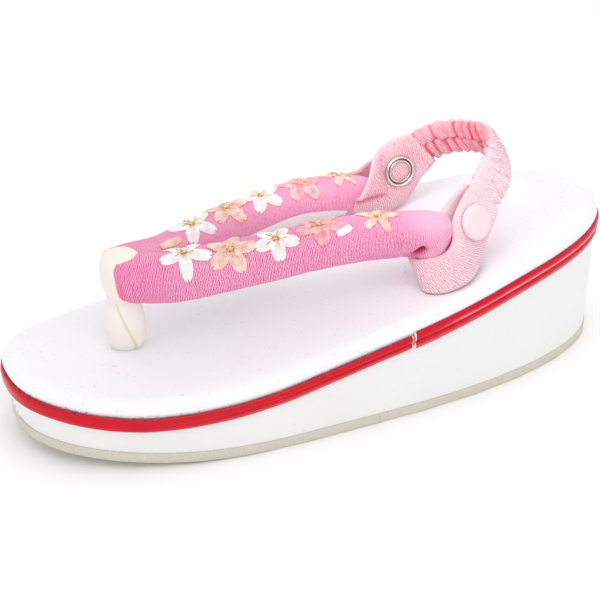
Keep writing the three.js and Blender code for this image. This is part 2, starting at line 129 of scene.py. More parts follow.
def gridUv(lengths, widths):
    # a flat map in millimetres: along the piece, then round or across it
    return np.stack(np.meshgrid(lengths, widths, indexing="ij"), -1)


def addObject(name, data):
    made = bpy.data.objects.new(name, data)
    bpy.context.scene.collection.objects.link(made)
    return made


def gridMesh(name, points, uv, material, attributes=None, wrapAlong=False, ends=True, sharp=40):
    # a surface through rows of points, closed round each row and with fan ends
    rows, cols = points.shape[:2]
    i, j = np.meshgrid(np.arange(rows if wrapAlong else rows - 1), np.arange(cols), indexing="ij")
    corners = [(i, j), (i, j + 1), (i + 1, j + 1), (i + 1, j)]
    faces = np.stack([(a % rows) * cols + b % cols for a, b in corners], -1).reshape(-1, 4).tolist()
    faceUv = np.stack([uv[a, b] for a, b in corners], -2).reshape(-1, 2).tolist()
    vertices = points.reshape(-1, 3)
    for row in (0, rows - 1) if ends and not wrapAlong else ():
        hub = len(vertices)
        vertices = np.vstack([vertices, points[row].mean(axis=0)])
        for a in range(cols):
            faces.append([hub, row * cols + a, row * cols + (a + 1) % cols])
            faceUv += [uv[row, :cols].mean(axis=0).tolist(), uv[row, a].tolist(), uv[row, a + 1].tolist()]
    mesh = bpy.data.meshes.new(name)
    mesh.from_pydata((vertices * mm).tolist(), [], faces)
    mesh.uv_layers.new(name="UVMap").data.foreach_set("uv", np.array(faceUv, np.float32).ravel())
    for label, values in (attributes or {}).items():
        values = np.asarray(values, np.float32).ravel()
        values = np.concatenate([values, np.zeros(len(vertices) - len(values), np.float32)])
        mesh.attributes.new(label, "FLOAT", "POINT").data.foreach_set("value", values)
    work = bmesh.new()
    work.from_mesh(mesh)
    bmesh.ops.remove_doubles(work, verts=work.verts, dist=1e-7)
    bmesh.ops.recalc_face_normals(work, faces=work.faces)
    work.to_mesh(mesh)
    work.free()
    mesh.polygons.foreach_set("use_smooth", [True] * len(mesh.polygons))
    mesh.set_sharp_from_angle(angle=math.radians(sharp))
    mesh.materials.append(material)
    return addObject(name, mesh)


def joinPieces(name, pieces):
    # one object from several of the same finish
    work = bmesh.new()
    mesh = bpy.data.meshes.new(name)
    mesh.materials.append(pieces[0].data.materials[0])
    for piece in pieces:
        old = piece.data
        work.from_mesh(old)
        bpy.data.objects.remove(piece)
        bpy.data.meshes.remove(old)
    work.to_mesh(mesh)
    work.free()
    return addObject(name, mesh)


def handIn(piece, slot, *nodes):
    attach(piece, "root")
    if nodes:
        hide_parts(*nodes)
    print("made", piece.name, len(piece.data.polygons), "faces")
    return piece


def addNode(tree, kind, inputs=None, **settings):
    node = tree.nodes.new(kind)
    for key, value in settings.items():
        setattr(node, key, value)
    for key, value in (inputs or {}).items():
        if isinstance(value, bpy.types.NodeSocket):
            tree.links.new(value, node.inputs[key])
        else:
            node.inputs[key].default_value = value
    return node


def maths(tree, operation, *values, clamp=False):
    inputs = dict(enumerate(values))
    return addNode(tree, "ShaderNodeMath", inputs, operation=operation, use_clamp=clamp).outputs[0]


def srgb(red, green, blue):
    # a screen colour from 0 to 255 as a linear one
    def linear(c):
        c /= 255
        return c / 12.92 if c <= 0.04045 else ((c + 0.055) / 1.055) ** 2.4
    return (linear(red), linear(green), linear(blue), 1.0)


def mixColour(tree, share, a, b):
    # a and b are sockets or screen colours
    a, b = (colour if isinstance(colour, bpy.types.NodeSocket) else srgb(*colour) for colour in (a, b))
    return addNode(tree, "ShaderNodeMix", {0: share, 6: a, 7: b}, data_type="RGBA").outputs[2]


def ramp(tree, value, low, high):
    # 0 at low, 1 at high, smooth between
    inputs = {"Value": value, "From Min": low, "From Max": high}
    return addNode(tree, "ShaderNodeMapRange", inputs, interpolation_type="SMOOTHSTEP").outputs[0]


def noiseAt(tree, vector, scale, detail=2.0):
    inputs = {"Vector": vector, "Scale": scale, "Detail": detail}
    return addNode(tree, "ShaderNodeTexNoise", inputs).outputs["Fac"]


def scaled(tree, vector, scale):
    return addNode(tree, "ShaderNodeVectorMath", {0: vector, "Scale": scale}, operation="SCALE").outputs[0]


def axesOf(tree, vector):
    return addNode(tree, "ShaderNodeSeparateXYZ", {0: vector}).outputs


def objectPlace(tree):
    # the place on the piece, in millimetres
    return scaled(tree, addNode(tree, "ShaderNodeTexCoord").outputs["Object"], 1 / mm)


def attributeOf(tree, label):
    return addNode(tree, "ShaderNodeAttribute", attribute_name=label).outputs["Fac"]


def newGroup(name, inputs, outputs):
    group = bpy.data.node_groups.new(name, "ShaderNodeTree")
    for label, value in inputs.items():
        kind = "NodeSocketVector" if value is None else "NodeSocketFloat"
        socket = group.interface.new_socket(name=label, in_out="INPUT", socket_type=kind)
        if value is not None:
            socket.default_value = value
    for label in outputs:
        group.interface.new_socket(name=label, in_out="OUTPUT", socket_type="NodeSocketFloat")
    return group, group.nodes.new("NodeGroupInput").outputs, group.nodes.new("NodeGroupOutput").inputs


crepe = {
    "driftScale": 0.7, "zigzagScale": 0.3,  # both for one strand's pitch
    "slubScale": 1.5, "slubGain": 2.2, "slubStart": -0.15, "slubHeight": 0.5,
}


def makeCrepeGroup():
    # crinkled crepe: wavering strands across the strip, broken by slubs
    inputs = {"Vector": None, "Pitch": 0.55, "Wander": 0.5, "Zigzag": 0.4}
    group, source, result = newGroup("crepeWeave", inputs, ["Height", "Strand"])
    cell = scaled(group, source["Vector"], maths(group, "DIVIDE", 1.0, source["Pitch"]))
    axes = axesOf(group, cell)
    drift = maths(group, "SUBTRACT", noiseAt(group, cell, crepe["driftScale"]), 0.5)
    place = maths(group, "MULTIPLY_ADD", drift, source["Wander"], axes[0])
    zigzag = maths(group, "PINGPONG", maths(group, "MULTIPLY", axes[1], crepe["zigzagScale"]), 0.5)
    place = maths(group, "MULTIPLY_ADD", zigzag, source["Zigzag"], place)
    wave = maths(group, "SINE", maths(group, "MULTIPLY", place, 2 * math.pi))
    slub = noiseAt(group, cell, crepe["slubScale"], detail=1.0)
    gain = maths(group, "MULTIPLY_ADD", slub, crepe["slubGain"], crepe["slubStart"])
    strand = maths(group, "MULTIPLY", maths(group, "MULTIPLY_ADD", wave, 0.5, 0.5), gain, clamp=True)
    height = maths(group, "MULTIPLY_ADD", slub, crepe["slubHeight"], strand)
    group.links.new(height, result["Height"])
    group.links.new(strand, result["Strand"])
    return group


speck = {"scale": 1.5, "soft": 0.05}


def makeMottleGroup():
    # slow change of tone, fine grain, and a few small specks
    inputs = {"Patch": 0.06, "Grain": 2.0, "Speck Edge": 0.74}
    group, source, result = newGroup("softMottle", inputs, ["Tone", "Grain", "Specks"])
    place = objectPlace(group)
    group.links.new(noiseAt(group, place, source["Patch"], detail=3.0), result["Tone"])
    group.links.new(noiseAt(group, place, source["Grain"], detail=3.0), result["Grain"])
    dots = noiseAt(group, place, speck["scale"], detail=0.0)
    edge = maths(group, "ADD", source["Speck Edge"], speck["soft"])
    inputs = {"Value": dots, "From Min": source["Speck Edge"], "From Max": edge}
    group.links.new(addNode(group, "ShaderNodeMapRange", inputs).outputs[0], result["Specks"])
    return group


crepeWeave = makeCrepeGroup()
softMottle = makeMottleGroup()


def mottled(tree, patch, grain=2.0, speckEdge=0.74):
    inputs = {"Patch": patch, "Grain": grain, "Speck Edge": speckEdge}
    return addNode(tree, "ShaderNodeGroup", inputs, node_tree=softMottle).outputs


def woven(tree, pitch, wanders, zigzag, degrees=0):
    # the weave on the piece's own flat map, turned by some degrees
    place = addNode(tree, "ShaderNodeUVMap", uv_map="UVMap").outputs[0]
    if degrees:
        turned = {"Vector": place, "Rotation": (0, 0, math.radians(degrees))}
        place = addNode(tree, "ShaderNodeMapping", turned).outputs[0]
    inputs = {"Vector": place, "Pitch": pitch, "Wander": wanders, "Zigzag": zigzag}
    return addNode(tree, "ShaderNodeGroup", inputs, node_tree=crepeWeave).outputs


def newMaterial(name, **constants):
    material = bpy.data.materials.new(name)
    material.use_nodes = True
    shader = material.node_tree.nodes["Principled BSDF"].inputs
    for key, value in constants.items():
        shader[key].default_value = value
    return material, material.node_tree


def layTones(tree, tone, *layers):
    # colours over a tone, where the piece's own attributes ask for them, some between two edges
    for label, colour, *edges in layers:
        mask = attributeOf(tree, label)
        tone = mixColour(tree, ramp(tree, mask, *edges) if edges else mask, tone, colour)
    return tone


def wornTone(tree, tone, label, colour, scale, detail, edges):
    # a colour in broken patches where an attribute allows it
    patches = ramp(tree, noiseAt(tree, objectPlace(tree), scale, detail), *edges)
    return mixColour(tree, maths(tree, "MULTIPLY", attributeOf(tree, label), patches), tone, colour)


def dress(material, tone, height=None, strength=0.0, deep=0.0, rough=None):
    tree = material.node_tree
    shader = tree.nodes["Principled BSDF"].inputs
    tree.links.new(tone, shader["Base Color"])
    if rough is not None:
        tree.links.new(rough, shader["Roughness"])
    if height is not None:
        inputs = {"Height": height, "Strength": strength, "Distance": deep * mm}
        tree.links.new(addNode(tree, "ShaderNodeBump", inputs).outputs[0], shader["Normal"])
    return material


def makeOutsoleRubber(ribScale=4.2, ribShare=0.35):
    material, tree = newMaterial("outsoleRubber", Roughness=0.75)
    mottle = mottled(tree, patch=0.3, grain=1.6)
    axes = axesOf(tree, objectPlace(tree))
    rib = maths(tree, "SINE", maths(tree, "MULTIPLY", maths(tree, "ADD", axes[0], axes[2]), ribScale))
    height = maths(tree, "MULTIPLY_ADD", rib, ribShare, mottle["Grain"])
    tone = mixColour(tree, ramp(tree, mottle["Grain"], 0.35, 0.65), (203, 198, 184), (210, 206, 193))
    return dress(material, tone, height, strength=0.22, deep=0.2)


def makeSideVinyl():
    material, tree = newMaterial("sideVinyl", Roughness=0.42)
    mottle = mottled(tree, patch=0.05, grain=1.3, speckEdge=0.79)
    tone = mixColour(tree, mottle["Tone"], (233, 233, 233), (239, 239, 239))
    tone = mixColour(tree, mottle["Specks"], tone, (222, 220, 218))
    tone = layTones(tree, tone, ("seam", (196, 184, 158), 0.3, 0.7))
    return dress(material, tone, mottle["Grain"], strength=0.12, deep=0.2)


def makeTopVinyl():
    material, tree = newMaterial("topVinyl")
    mottle = mottled(tree, patch=0.03, grain=0.9, speckEdge=0.78)
    tone = mixColour(tree, mottle["Tone"], (239, 238, 244), (244, 243, 248))
    tone = mixColour(tree, mottle["Specks"], tone, (214, 206, 214))
    tone = wornTone(tree, tone, "rimScuff", (186, 174, 178), scale=0.9, detail=4.0, edges=(0.52, 0.74))
    rough = maths(tree, "MULTIPLY_ADD", mottle["Grain"], 0.16, 0.26)
    return dress(material, tone, mottle["Grain"], strength=0.08, deep=0.2, rough=rough)


def makeRedPiping():
    gloss = {"Coat Weight": 0.2, "Coat Roughness": 0.1, "Specular IOR Level": 0.15}
    material, tree = newMaterial("redPiping", **gloss)
    mottle = mottled(tree, patch=0.25, grain=0.8, speckEdge=0.72)
    tone = mixColour(tree, mottle["Tone"], (192, 2, 28), (216, 10, 42))
    tone = wornTone(tree, tone, "scuff", (92, 40, 44), scale=1.1, detail=3.0, edges=(0.5, 0.62))
    # a painted highlight on the beads, then the pale cut ends at the joint
    tone = layTones(tree, tone, ("paintedBeadHighlight", (246, 132, 146)), ("rawEnd", (246, 236, 232), 0.45, 0.55))
    rough = maths(tree, "MULTIPLY_ADD", mottle["Grain"], 0.2, 0.12)
    return dress(material, tone, mottle["Grain"], strength=0.18, deep=0.4, rough=rough)


def makePinkCrepe():
    nap = {"Roughness": 0.7, "Sheen Weight": 0.12, "Sheen Roughness": 0.4}
    material, tree = newMaterial("pinkCrepe", **nap)
    weave = woven(tree, pitch=0.46, wanders=1.5, zigzag=0.3)
    mottle = mottled(tree, patch=0.09)
    deep = mixColour(tree, mottle["Tone"], (207, 44, 124), (218, 68, 142))
    tone = mixColour(tree, ramp(tree, weave["Strand"], 0.05, 0.72), deep, (255, 190, 220))
    # the pale layer is paler cloth at the roll's end with painted light on top and on the right roll's
    # inner face; the pinch layer is painted shade
    tone = layTones(
        tree, tone, ("vivid", (230, 62, 146)), ("paleAndPaintedLight", (251, 190, 219)),
        ("pinch", (184, 8, 62), 0.05, 1.2), ("frontEdge", (248, 108, 128)),
        ("lining", (250, 243, 240), -0.12, 0.12))
    return dress(material, tone, weave["Height"], strength=0.55, deep=0.16)


def makePaleCrepe(paintedLightShare=0.5, paintedLightZ=(41, 49), paintedLightY=(-6, -16)):
    nap = {"Roughness": 0.8, "Sheen Weight": 0.1, "Sheen Roughness": 0.5}
    material, tree = newMaterial("paleCrepe", **nap)
    weave = woven(tree, pitch=0.66, wanders=1.7, zigzag=0.4, degrees=24)
    mottle = mottled(tree, patch=0.1)
    deep = mixColour(tree, mottle["Tone"], (218, 134, 152), (228, 154, 170))
    tone = mixColour(tree, ramp(tree, weave["Strand"], 0.0, 0.6), deep, (249, 221, 228))
    # painted light: the near upper part of the cloth is painted paler, where the light falls on it
    axes = axesOf(tree, objectPlace(tree))
    pale = maths(tree, "MULTIPLY", ramp(tree, axes[2], *paintedLightZ), ramp(tree, axes[1], *paintedLightY))
    tone = mixColour(tree, maths(tree, "MULTIPLY", pale, paintedLightShare), tone, (255, 238, 243))
    # a flat tone on the hems, and painted shade, deeper pink, in creases and on faces inside the heel loop
    tone = layTones(tree, tone, ("hem", (245, 200, 210)), ("paintedShade", (234, 98, 126), 0.0, 1.0))
    return dress(material, tone, weave["Height"], strength=0.6, deep=0.2)


def makeCreamVelvet():
    nap = {"Roughness": 0.9, "Sheen Weight": 0.2, "Sheen Roughness": 0.35}
    material, tree = newMaterial("creamVelvet", **nap)
    mottle = mottled(tree, patch=0.25, grain=3.5)
    tone = mixColour(tree, mottle["Tone"], (240, 231, 222), (247, 240, 233))
    # painted shade in the fold's groove
    tone = layTones(tree, tone, ("fold", (236, 219, 190), 0.2, 1.0))
    return dress(material, tone, mottle["Grain"], strength=0.35, deep=0.15)


def makeSilk(name, dark, light, roughness):
    material, tree = newMaterial(name, Roughness=roughness)
    mottle = mottled(tree, patch=0.5, grain=4.0)
    tone = mixColour(tree, ramp(tree, mottle["Tone"], 0.35, 0.65), dark, light)
    return dress(material, tone, mottle["Grain"], strength=0.2, deep=0.05)


def makeGoldThread():
    material, tree = newMaterial("goldThread", Roughness=0.38, Metallic=0.55)
    mottle = mottled(tree, patch=0.8, grain=5.0)
    tone = mixColour(tree, ramp(tree, mottle["Tone"], 0.4, 0.6), (214, 172, 104), (252, 234, 180))
    return dress(material, tone)


def makeSnapPlastic():
    material, tree = newMaterial("snapPlastic", Roughness=0.36)
    mottle = mottled(tree, patch=0.2)
    tone = mixColour(tree, mottle["Tone"], (250, 214, 222), (253, 224, 230))
    return dress(material, tone, mottle["Grain"], strength=0.06, deep=0.1)


def makeSnapMetal():
    material, tree = newMaterial("snapMetal", Metallic=1.0)
    mottle = mottled(tree, patch=0.6, grain=3.0)
    tone = mixColour(tree, mottle["Tone"], (222, 216, 210), (250, 248, 246))
    # painted shade in the grooves
    tone = layTones(tree, tone, ("grooveShade", (128, 110, 102)))
    return dress(material, tone, rough=maths(tree, "MULTIPLY_ADD", mottle["Grain"], 0.2, 0.14))


finish = {
    "outsole": makeOutsoleRubber(), "side": makeSideVinyl(), "top": makeTopVinyl(), "red": makeRedPiping(),
    "pink": makePinkCrepe(), "pale": makePaleCrepe(), "cream": makeCreamVelvet(),
    "white": makeSilk("whiteSilk", (238, 232, 233), (250, 248, 246), 0.5),
    "salmon": makeSilk("salmonSilk", (236, 156, 170), (248, 198, 206), 0.5),
    "beige": makeSilk("beigeSilk", (237, 190, 181), (249, 220, 211), 0.55),
    "gold": makeGoldThread(), "cap": makeSnapPlastic(), "ring": makeSnapMetal(),
}
print("finishes ready", len(finish))


sole = {
    "halfLength": 95, "halfWidth": 38.4,
    "toeStart": -16, "toeRoundness": 2.32, "heelStart": 2, "heelRoundness": 2.35,
    "bandX": [-95, -65, -35, -5, 25, 55, 95],
    "bandLow": [16.7, 12.6, 14.1, 19.5, 25.2, 31.4, 36.1],
    "bandTall": 3.8, "outsoleThick": 3.1, "toeSpring": 5.7, "springStart": -25, "leanStart": -40,
    "wallInset": 1.3, "leanSide": 0.1, "leanToe": 1.3, "outsoleProud": 0.4,
    "points": 384, "spineShort": 0.3,  # the middle line is this share shorter than the outline
}


def outline(turn):
    heel = np.cos(turn) > 0
    c, s = squircle(turn, np.where(heel, sole["heelRoundness"], sole["toeRoundness"]))
    start = np.where(heel, sole["heelStart"], sole["toeStart"])
    reach = sole["halfLength"] - np.where(heel, start, -start)
    return np.stack([start + reach * c, sole["halfWidth"] * s], -1)


def insetOutline(turn, inset):
    ahead = unit(outline(turn + 0.01) - outline(turn - 0.01))
    return outline(turn) - np.stack([ahead[:, 1], -ahead[:, 0]], -1) * np.asarray(inset, float)[..., None]


def evenTurns(count):
    # angles whose outline points stand evenly apart, and the length of the outline
    fine = np.linspace(0, 2 * np.pi, 6001)
    run = runAlong(outline(fine))
    return np.interp((np.arange(count) + 0.5) / count * run[-1], run, fine), run[-1]


turns, outlineLength = evenTurns(sole["points"])
rimX, rimY = outline(turns).T
roundTheSole = np.linspace(0, outlineLength, sole["points"] + 1)


def bandLow(x):
    return curveThrough(sole["bandX"], sole["bandLow"], x)[..., 0]


def bandMiddle(x):
    return bandLow(x) + sole["bandTall"] / 2


def bandTop(x):
    return bandLow(x) + sole["bandTall"]


def springAt(x):
    toward = np.maximum(0, sole["springStart"] - x) / (sole["springStart"] + sole["halfLength"])
    return sole["toeSpring"] * toward ** 2


def wallLean(x):
    toward = smoothStep(-sole["leanStart"], sole["halfLength"], -x)
    return sole["leanSide"] + (sole["leanToe"] - sole["leanSide"]) * toward


def soleRing(inset, height):
    plan = insetOutline(turns, inset)
    return np.column_stack([plan, height(plan[:, 0])])


def closeToSpine(ring, steps, height):
    # rings that draw in from an outline to the line down its middle
    rings = []
    for t in np.arange(1, steps + 1) / steps:
        x = ring[:, 0] * (1 - sole["spineShort"] * t)
        y = ring[:, 1] * (1 - t)
        rings.append(np.column_stack([x, y, height(x, y, t)]))
    return rings


def soleMesh(name, rings, material, attributes=None):
    points = np.array(rings)
    steps = np.linalg.norm(np.diff(points, axis=0), axis=2).mean(axis=1)
    uv = gridUv(np.concatenate([[0], np.cumsum(steps)]), roundTheSole)
    return gridMesh(name, points, uv, material, attributes, ends=False)


outsole = {
    "ribPitch": 1.1, "ribDeep": 0.1, "underRings": 10, "overRings": 6,
    # inset, height and share of the moulded ribs, up the edge
    "rows": [(0.55, 0.0, 0), (0.2, 0.12, 0.4), (0, 0.45, 1), (0, 1.2, 1),
             (0, 2.1, 1), (0, 2.7, 0.8), (0.12, 3.0, 0.3), (0.4, sole["outsoleThick"], 0)],
}


def buildOutsole():
    inset = sole["wallInset"] + wallLean(rimX) - sole["outsoleProud"]
    ribs = outsole["ribDeep"] * np.sin(roundTheSole[:-1] / outsole["ribPitch"] * 2 * np.pi)
    rings = [soleRing(inset + cut - ribs * ribbed, lambda x: springAt(x) + up)
             for cut, up, ribbed in outsole["rows"]]
    under = closeToSpine(rings[0], outsole["underRings"], lambda x, y, t: springAt(x))[::-1]
    over = closeToSpine(rings[-1], outsole["overRings"], lambda x, y, t: springAt(x) + sole["outsoleThick"])
    return soleMesh("outsole_rubber", under + rings + over, finish["outsole"])


wrap = {
    "foot": sole["outsoleThick"] + 0.06, "topSink": 0.2, "rings": 12, "capRings": 4, "belly": 0.18,
    # where the wrap's two ends lap, on the toe
    "seamBefore": -70, "seamY": 2.0, "seamSlant": 8.0, "seamShift": 0.2, "seamSize": 0.55,
    "lapDeep": 0.35, "lapEdge": (-0.5, 0.0), "lapFade": (0.4, 9),
}


def buildSideWrap():
    rings, seams = [], []
    for t in np.arange(wrap["rings"] + 1) / wrap["rings"]:
        inset = sole["wallInset"] + wallLean(rimX) * (1 - t) - wrap["belly"] * math.sin(math.pi * t)
        baseX, baseY = insetOutline(turns, inset).T
        fromSeam = baseY - wrap["seamY"] - wrap["seamSlant"] * (t - 0.5)
        atToe = baseX < wrap["seamBefore"]
        lap = smoothStep(*wrap["lapEdge"], fromSeam) * (1 - smoothStep(*wrap["lapFade"], fromSeam))
        plan = insetOutline(turns, inset - wrap["lapDeep"] * lap * atToe)
        bottom = springAt(plan[:, 0]) + wrap["foot"]
        rings.append(np.column_stack([plan, bottom + (bandMiddle(plan[:, 0]) - bottom) * t]))
        seams.append(atToe * hill(fromSeam, -wrap["seamShift"], wrap["seamSize"]))
    under = closeToSpine(rings[0], wrap["capRings"], lambda x, y, t: springAt(x) + wrap["foot"])[::-1]
    over = closeToSpine(rings[-1], wrap["capRings"], lambda x, y, t: bandMiddle(x) - wrap["topSink"])
    blank = np.zeros((wrap["capRings"], sole["points"]))
    seam = {"seam": np.vstack([blank, seams, blank])}
    return soleMesh("side_wrap", under + rings + over, finish["side"], seam)


footbed = {
    # inset and height of the pillow edge above the band
    "rows": [(1.3, 0.0), (0.9, 0.8), (0.75, 1.6), (1.2, 2.7),
             (2.3, 3.8), (3.8, 4.55), (6.5, 4.95), (9.0, 5.05)],
    "crown": 5.2, "postX": -59.7, "postRise": 0.4, "postSize": 5.5,
    "tabX": 27.5, "tabOut": 27.0, "tabDip": 0.5, "tabSize": 7,
    "edgeRings": 24, "overRings": 26, "underRings": 3, "underInset": 2.0, "underLift": 0.1,
    "scuffX": (35, 62), "scuffY": (-10, 14), "scuffRings": 6,  # rubbed along the rim on the left of the toe
}


def footbedRise(x, y):
    # up round the post, down under the tabs
    post = footbed["postRise"] * np.exp(-((x - footbed["postX"]) ** 2 + y ** 2) / footbed["postSize"] ** 2)
    fromTab = (x - footbed["tabX"]) ** 2 + (np.abs(y) - footbed["tabOut"]) ** 2
    return post - footbed["tabDip"] * np.exp(-fromTab / footbed["tabSize"] ** 2)


def buildFootbed():
    rows = tableAt(footbed["rows"], np.linspace(0, len(footbed["rows"]) - 1, footbed["edgeRings"]))
    rings = [soleRing(inset, lambda x: bandTop(x) + up) for inset, up in rows]
    for ring in rings:
        ring[:, 2] += footbedRise(ring[:, 0], ring[:, 1])
    crown, drop = footbed["crown"], footbed["crown"] - rows[-1][1]
    over = closeToSpine(rings[-1], footbed["overRings"],
                        lambda x, y, t: bandTop(x) + crown + footbedRise(x, y) - drop * (1 - t) ** 2)
    def bottom(x, y=0, t=0):
        return bandMiddle(x) + footbed["underLift"]
    low = soleRing(footbed["underInset"], bottom)
    under = closeToSpine(low, footbed["underRings"], bottom)[::-1]
    stack = under + [low] + rings + over
    toe = smoothStep(*footbed["scuffX"], -rimX) * smoothStep(*footbed["scuffY"], -rimY)
    rim = [toe * (len(under) < k < len(under) + footbed["scuffRings"]) for k in range(len(stack))]
    return soleMesh("footbed_pad", stack, finish["top"], {"rimScuff": np.array(rim)})


band = {
    "jointX": 12, "gap": 0.2, "tallHeel": 5.2, "tallToe": 3.8, "innerInset": 0.95,
    "steps": 900, "around": 40,
    # out and up of the two beads
    "profile": [(0, 0), (0.35, -0.02), (0.66, 0.03), (0.83, 0.15), (0.76, 0.29), (0.5, 0.37), (0.4, 0.4),
                (0.56, 0.45), (0.84, 0.54), (1.0, 0.7), (0.86, 0.88), (0.5, 0.98), (0.2, 1.0), (0, 0.98)],
    # the same points where the beads run together, by the toe
    "single": [(0, 0), (0.35, 0.0), (0.64, 0.06), (0.84, 0.17), (0.95, 0.28), (1.0, 0.38), (1.01, 0.44),
               (1.01, 0.5), (0.99, 0.6), (0.92, 0.72), (0.76, 0.87), (0.46, 0.97), (0.2, 1.0), (0, 0.98)],
    "mergeX": (20, 75), "mergeShare": 0.85,
    "wobblePatch": 9.0, "wobble": 0.12,
    "ripplePatch": 2.3, "ripple": 0.1, "rippleOut": 0.05, "rippleFrom": 0.8,
    "scuffX": (30, 70), "scuffUp": (0.82, 0.95), "scuffSide": 0.25,  # dark wear on top, most at the toe
    "rawEnd": (0.1, 0.5), "rawRagged": 0.2,
    # height and size of the painted highlight on the lower bead, and of a painted highlight streak on the
    # upper one beside the heel
    "lowBead": (0.12, 0.13), "lowBeadShare": 0.3,
    "streak": (0.61, 0.1), "streakX": (16, 34), "streakShare": 0.95,
}


def buildEdgeBand():
    reach = (band["jointX"] - sole["heelStart"]) / (sole["halfLength"] - sole["heelStart"])
    joint = 2 * np.pi - math.acos(reach ** (sole["heelRoundness"] / 2))
    half = band["gap"] / 2 / sole["halfWidth"]
    fine = np.linspace(joint - 2 * np.pi + half, joint - half, 8000)
    run = runAlong(outline(fine))
    lengths = np.linspace(0, run[-1], band["steps"])
    turn = np.interp(lengths, run, fine)
    x = outline(turn)[:, 0]
    tall = band["tallHeel"] + (band["tallToe"] - band["tallHeel"]) * lengths / run[-1]
    places = np.linspace(0, len(band["profile"]) - 1, band["around"])
    profile, single = tableAt(band["profile"], places), tableAt(band["single"], places)
    merged = band["mergeShare"] * smoothStep(*band["mergeX"], -x)
    wobble = wander(band["wobblePatch"], 0.0, lengths)
    ripple = wander(band["ripplePatch"], 5.0, lengths)
    points = np.zeros((len(turn), len(profile), 3))
    for k in range(len(profile)):
        out, up = (profile[k] + (single[k] - profile[k]) * merged[:, None]).T
        plan = insetOutline(turn, band["innerInset"] - out * (1 + band["rippleOut"] * ripple))
        shift = band["wobble"] * wobble + band["ripple"] * ripple * (up > band["rippleFrom"])
        points[:, k] = np.column_stack([plan, bandMiddle(plan[:, 0]) + (up - 0.5) * tall + shift])
    bead, up = profile.T
    upper = smoothStep(*band["scuffUp"], up) * smoothStep(-0.1, 0.2, bead)
    atToe = smoothStep(*band["scuffX"], -x)
    # painted highlight: paler on the lower bead, and in a streak on the upper bead beside the heel
    lowBead = hill(up, *band["lowBead"]) * smoothStep(0.3, 0.6, bead)
    streak = hill(up, *band["streak"]) * smoothStep(0.5, 0.8, bead)
    atHeel = smoothStep(*band["streakX"], x) * np.clip(0.75 + 0.6 * wobble, 0, 1)
    fromEnd = np.minimum(lengths, run[-1] - lengths) + band["rawRagged"] * ripple
    wearAndHighlight = {
        "scuff": np.outer(band["scuffSide"] + (1 - band["scuffSide"]) * atToe, upper),
        "rawEnd": np.outer(1 - smoothStep(*band["rawEnd"], fromEnd), np.ones(len(profile))),
        "paintedBeadHighlight": (np.outer(band["lowBeadShare"] * (1 - merged), lowBead)
                     + np.outer(band["streakShare"] * atHeel, streak)),
    }
    girth = runAlong(profile) * 3
    uv = gridUv(lengths, np.append(girth, girth[-1] + 1))
    return gridMesh("edge_band_piping", points, uv, finish["red"], wearAndHighlight)


handIn(buildOutsole(), "outsole_rubber", "outsole")
handIn(buildSideWrap(), "white_vinyl", "wedge_base")
padPiece = handIn(buildFootbed(), "white_vinyl", "footbed")
handIn(buildEdgeBand(), "red_piping", "edge_band")


strap = {
    # x, out, z of the middle, half width, half height, how much lower the right strap lies
    "rows": [
        (-63.3, 2.4, 43.9, 4.6, 5.2, 0), (-61.9, 2.7, 43.7, 5.5, 6.4, 0),
        (-57.8, 3.5, 43.35, 6.0, 7.05, 0), (-45.0, 5.8, 42.95, 6.5, 7.35, 0),
        (-25.0, 10.8, 45.6, 6.6, 6.9, 0), (-5.0, 14.2, 47.8, 6.6, 6.6, 0),
        (10.0, 16.2, 48.4, 6.6, 6.6, 0.6), (19.0, 18.8, 48.2, 6.5, 6.6, 2.2),
        (24.6, 21.4, 47.8, 6.6, 7.1, 3.9), (28.2, 23.0, 47.0, 5.6, 6.6, 4.2),
        (30.2, 23.9, 46.4, 3.0, 4.2, 4.2),
    ],
    "dropThins": 0.3,  # share of that drop by which the right strap's half height shrinks
    "roundness": 2.3, "steps": 300, "around": 108,
    "girth": 42.6, "perDegree": 0.118,  # cloth round the roll, and in one degree of it
    "pressGap": 0.06,  # the two rolls press flat on each other, each this far from the middle
    "seamDegrees": 250,  # where the cloth's edge lies under the roll; 0 faces the other strap, 90 is up
    "puff": [(0.22, 7.0, 11.0), (0.1, 2.6, 4.0)],  # height, patch and seed of the soft lumps
    # the pale lining shows below: its edge on the inner side along the roll, and on the outer side
    "liningX": [-62, -25, -2, 14, 22, 30], "liningDegrees": [330, 350, 356, 334, 298, 270],
    "outerLining": 235, "outerDrop": 40, "outerDropX": (5, 18), "liningGone": 6, "liningGoneX": (15, 20),
    "edgeGroove": 0.35, "edgeSize": 0.5, "liningSink": 0.3, "sinkWide": 1.2,
    # x and degrees of the pinch's two ends, and of a patch of painted shade in front of it
    "pinchFrom": (20.4, 236), "pinchTo": (23.6, 200), "pinchDeep": 1.9, "pinchSize": 1.05,
    "dentDeep": 1.0, "dentSize": 3.2, "dentShade": 0.22,
    "shadeAt": (16.4, 180), "shadeSize": 2.2, "shadeShare": 0.42,
    # on the outer side the lower edge starts further back than the upper one
    "frontSlant": 0.3, "slantTop": 46.9, "slantRun": (2, 14), "slantOut": (3, 6),
    "edgeRun": (0.9, 2.0), "edgeRise": (-5, 1), "edgeShare": 0.6,  # reddened front edge
    "frontVivid": 0.24, "vividRun": (6, 22),  # the outer side keeps the most colour near the loop
    "paintedInnerLight": 0.24, "innerX": (12, 20),  # painted light: the right roll is painted paler on the side that faces the other one, where that roll shades it
    # the roll's end is paler, with painted light on its top
    "paintedTopLight": 0.75, "paintedTopLightX": (14, 26), "paleSide": 0.4, "paleSideX": (21, 26),
}


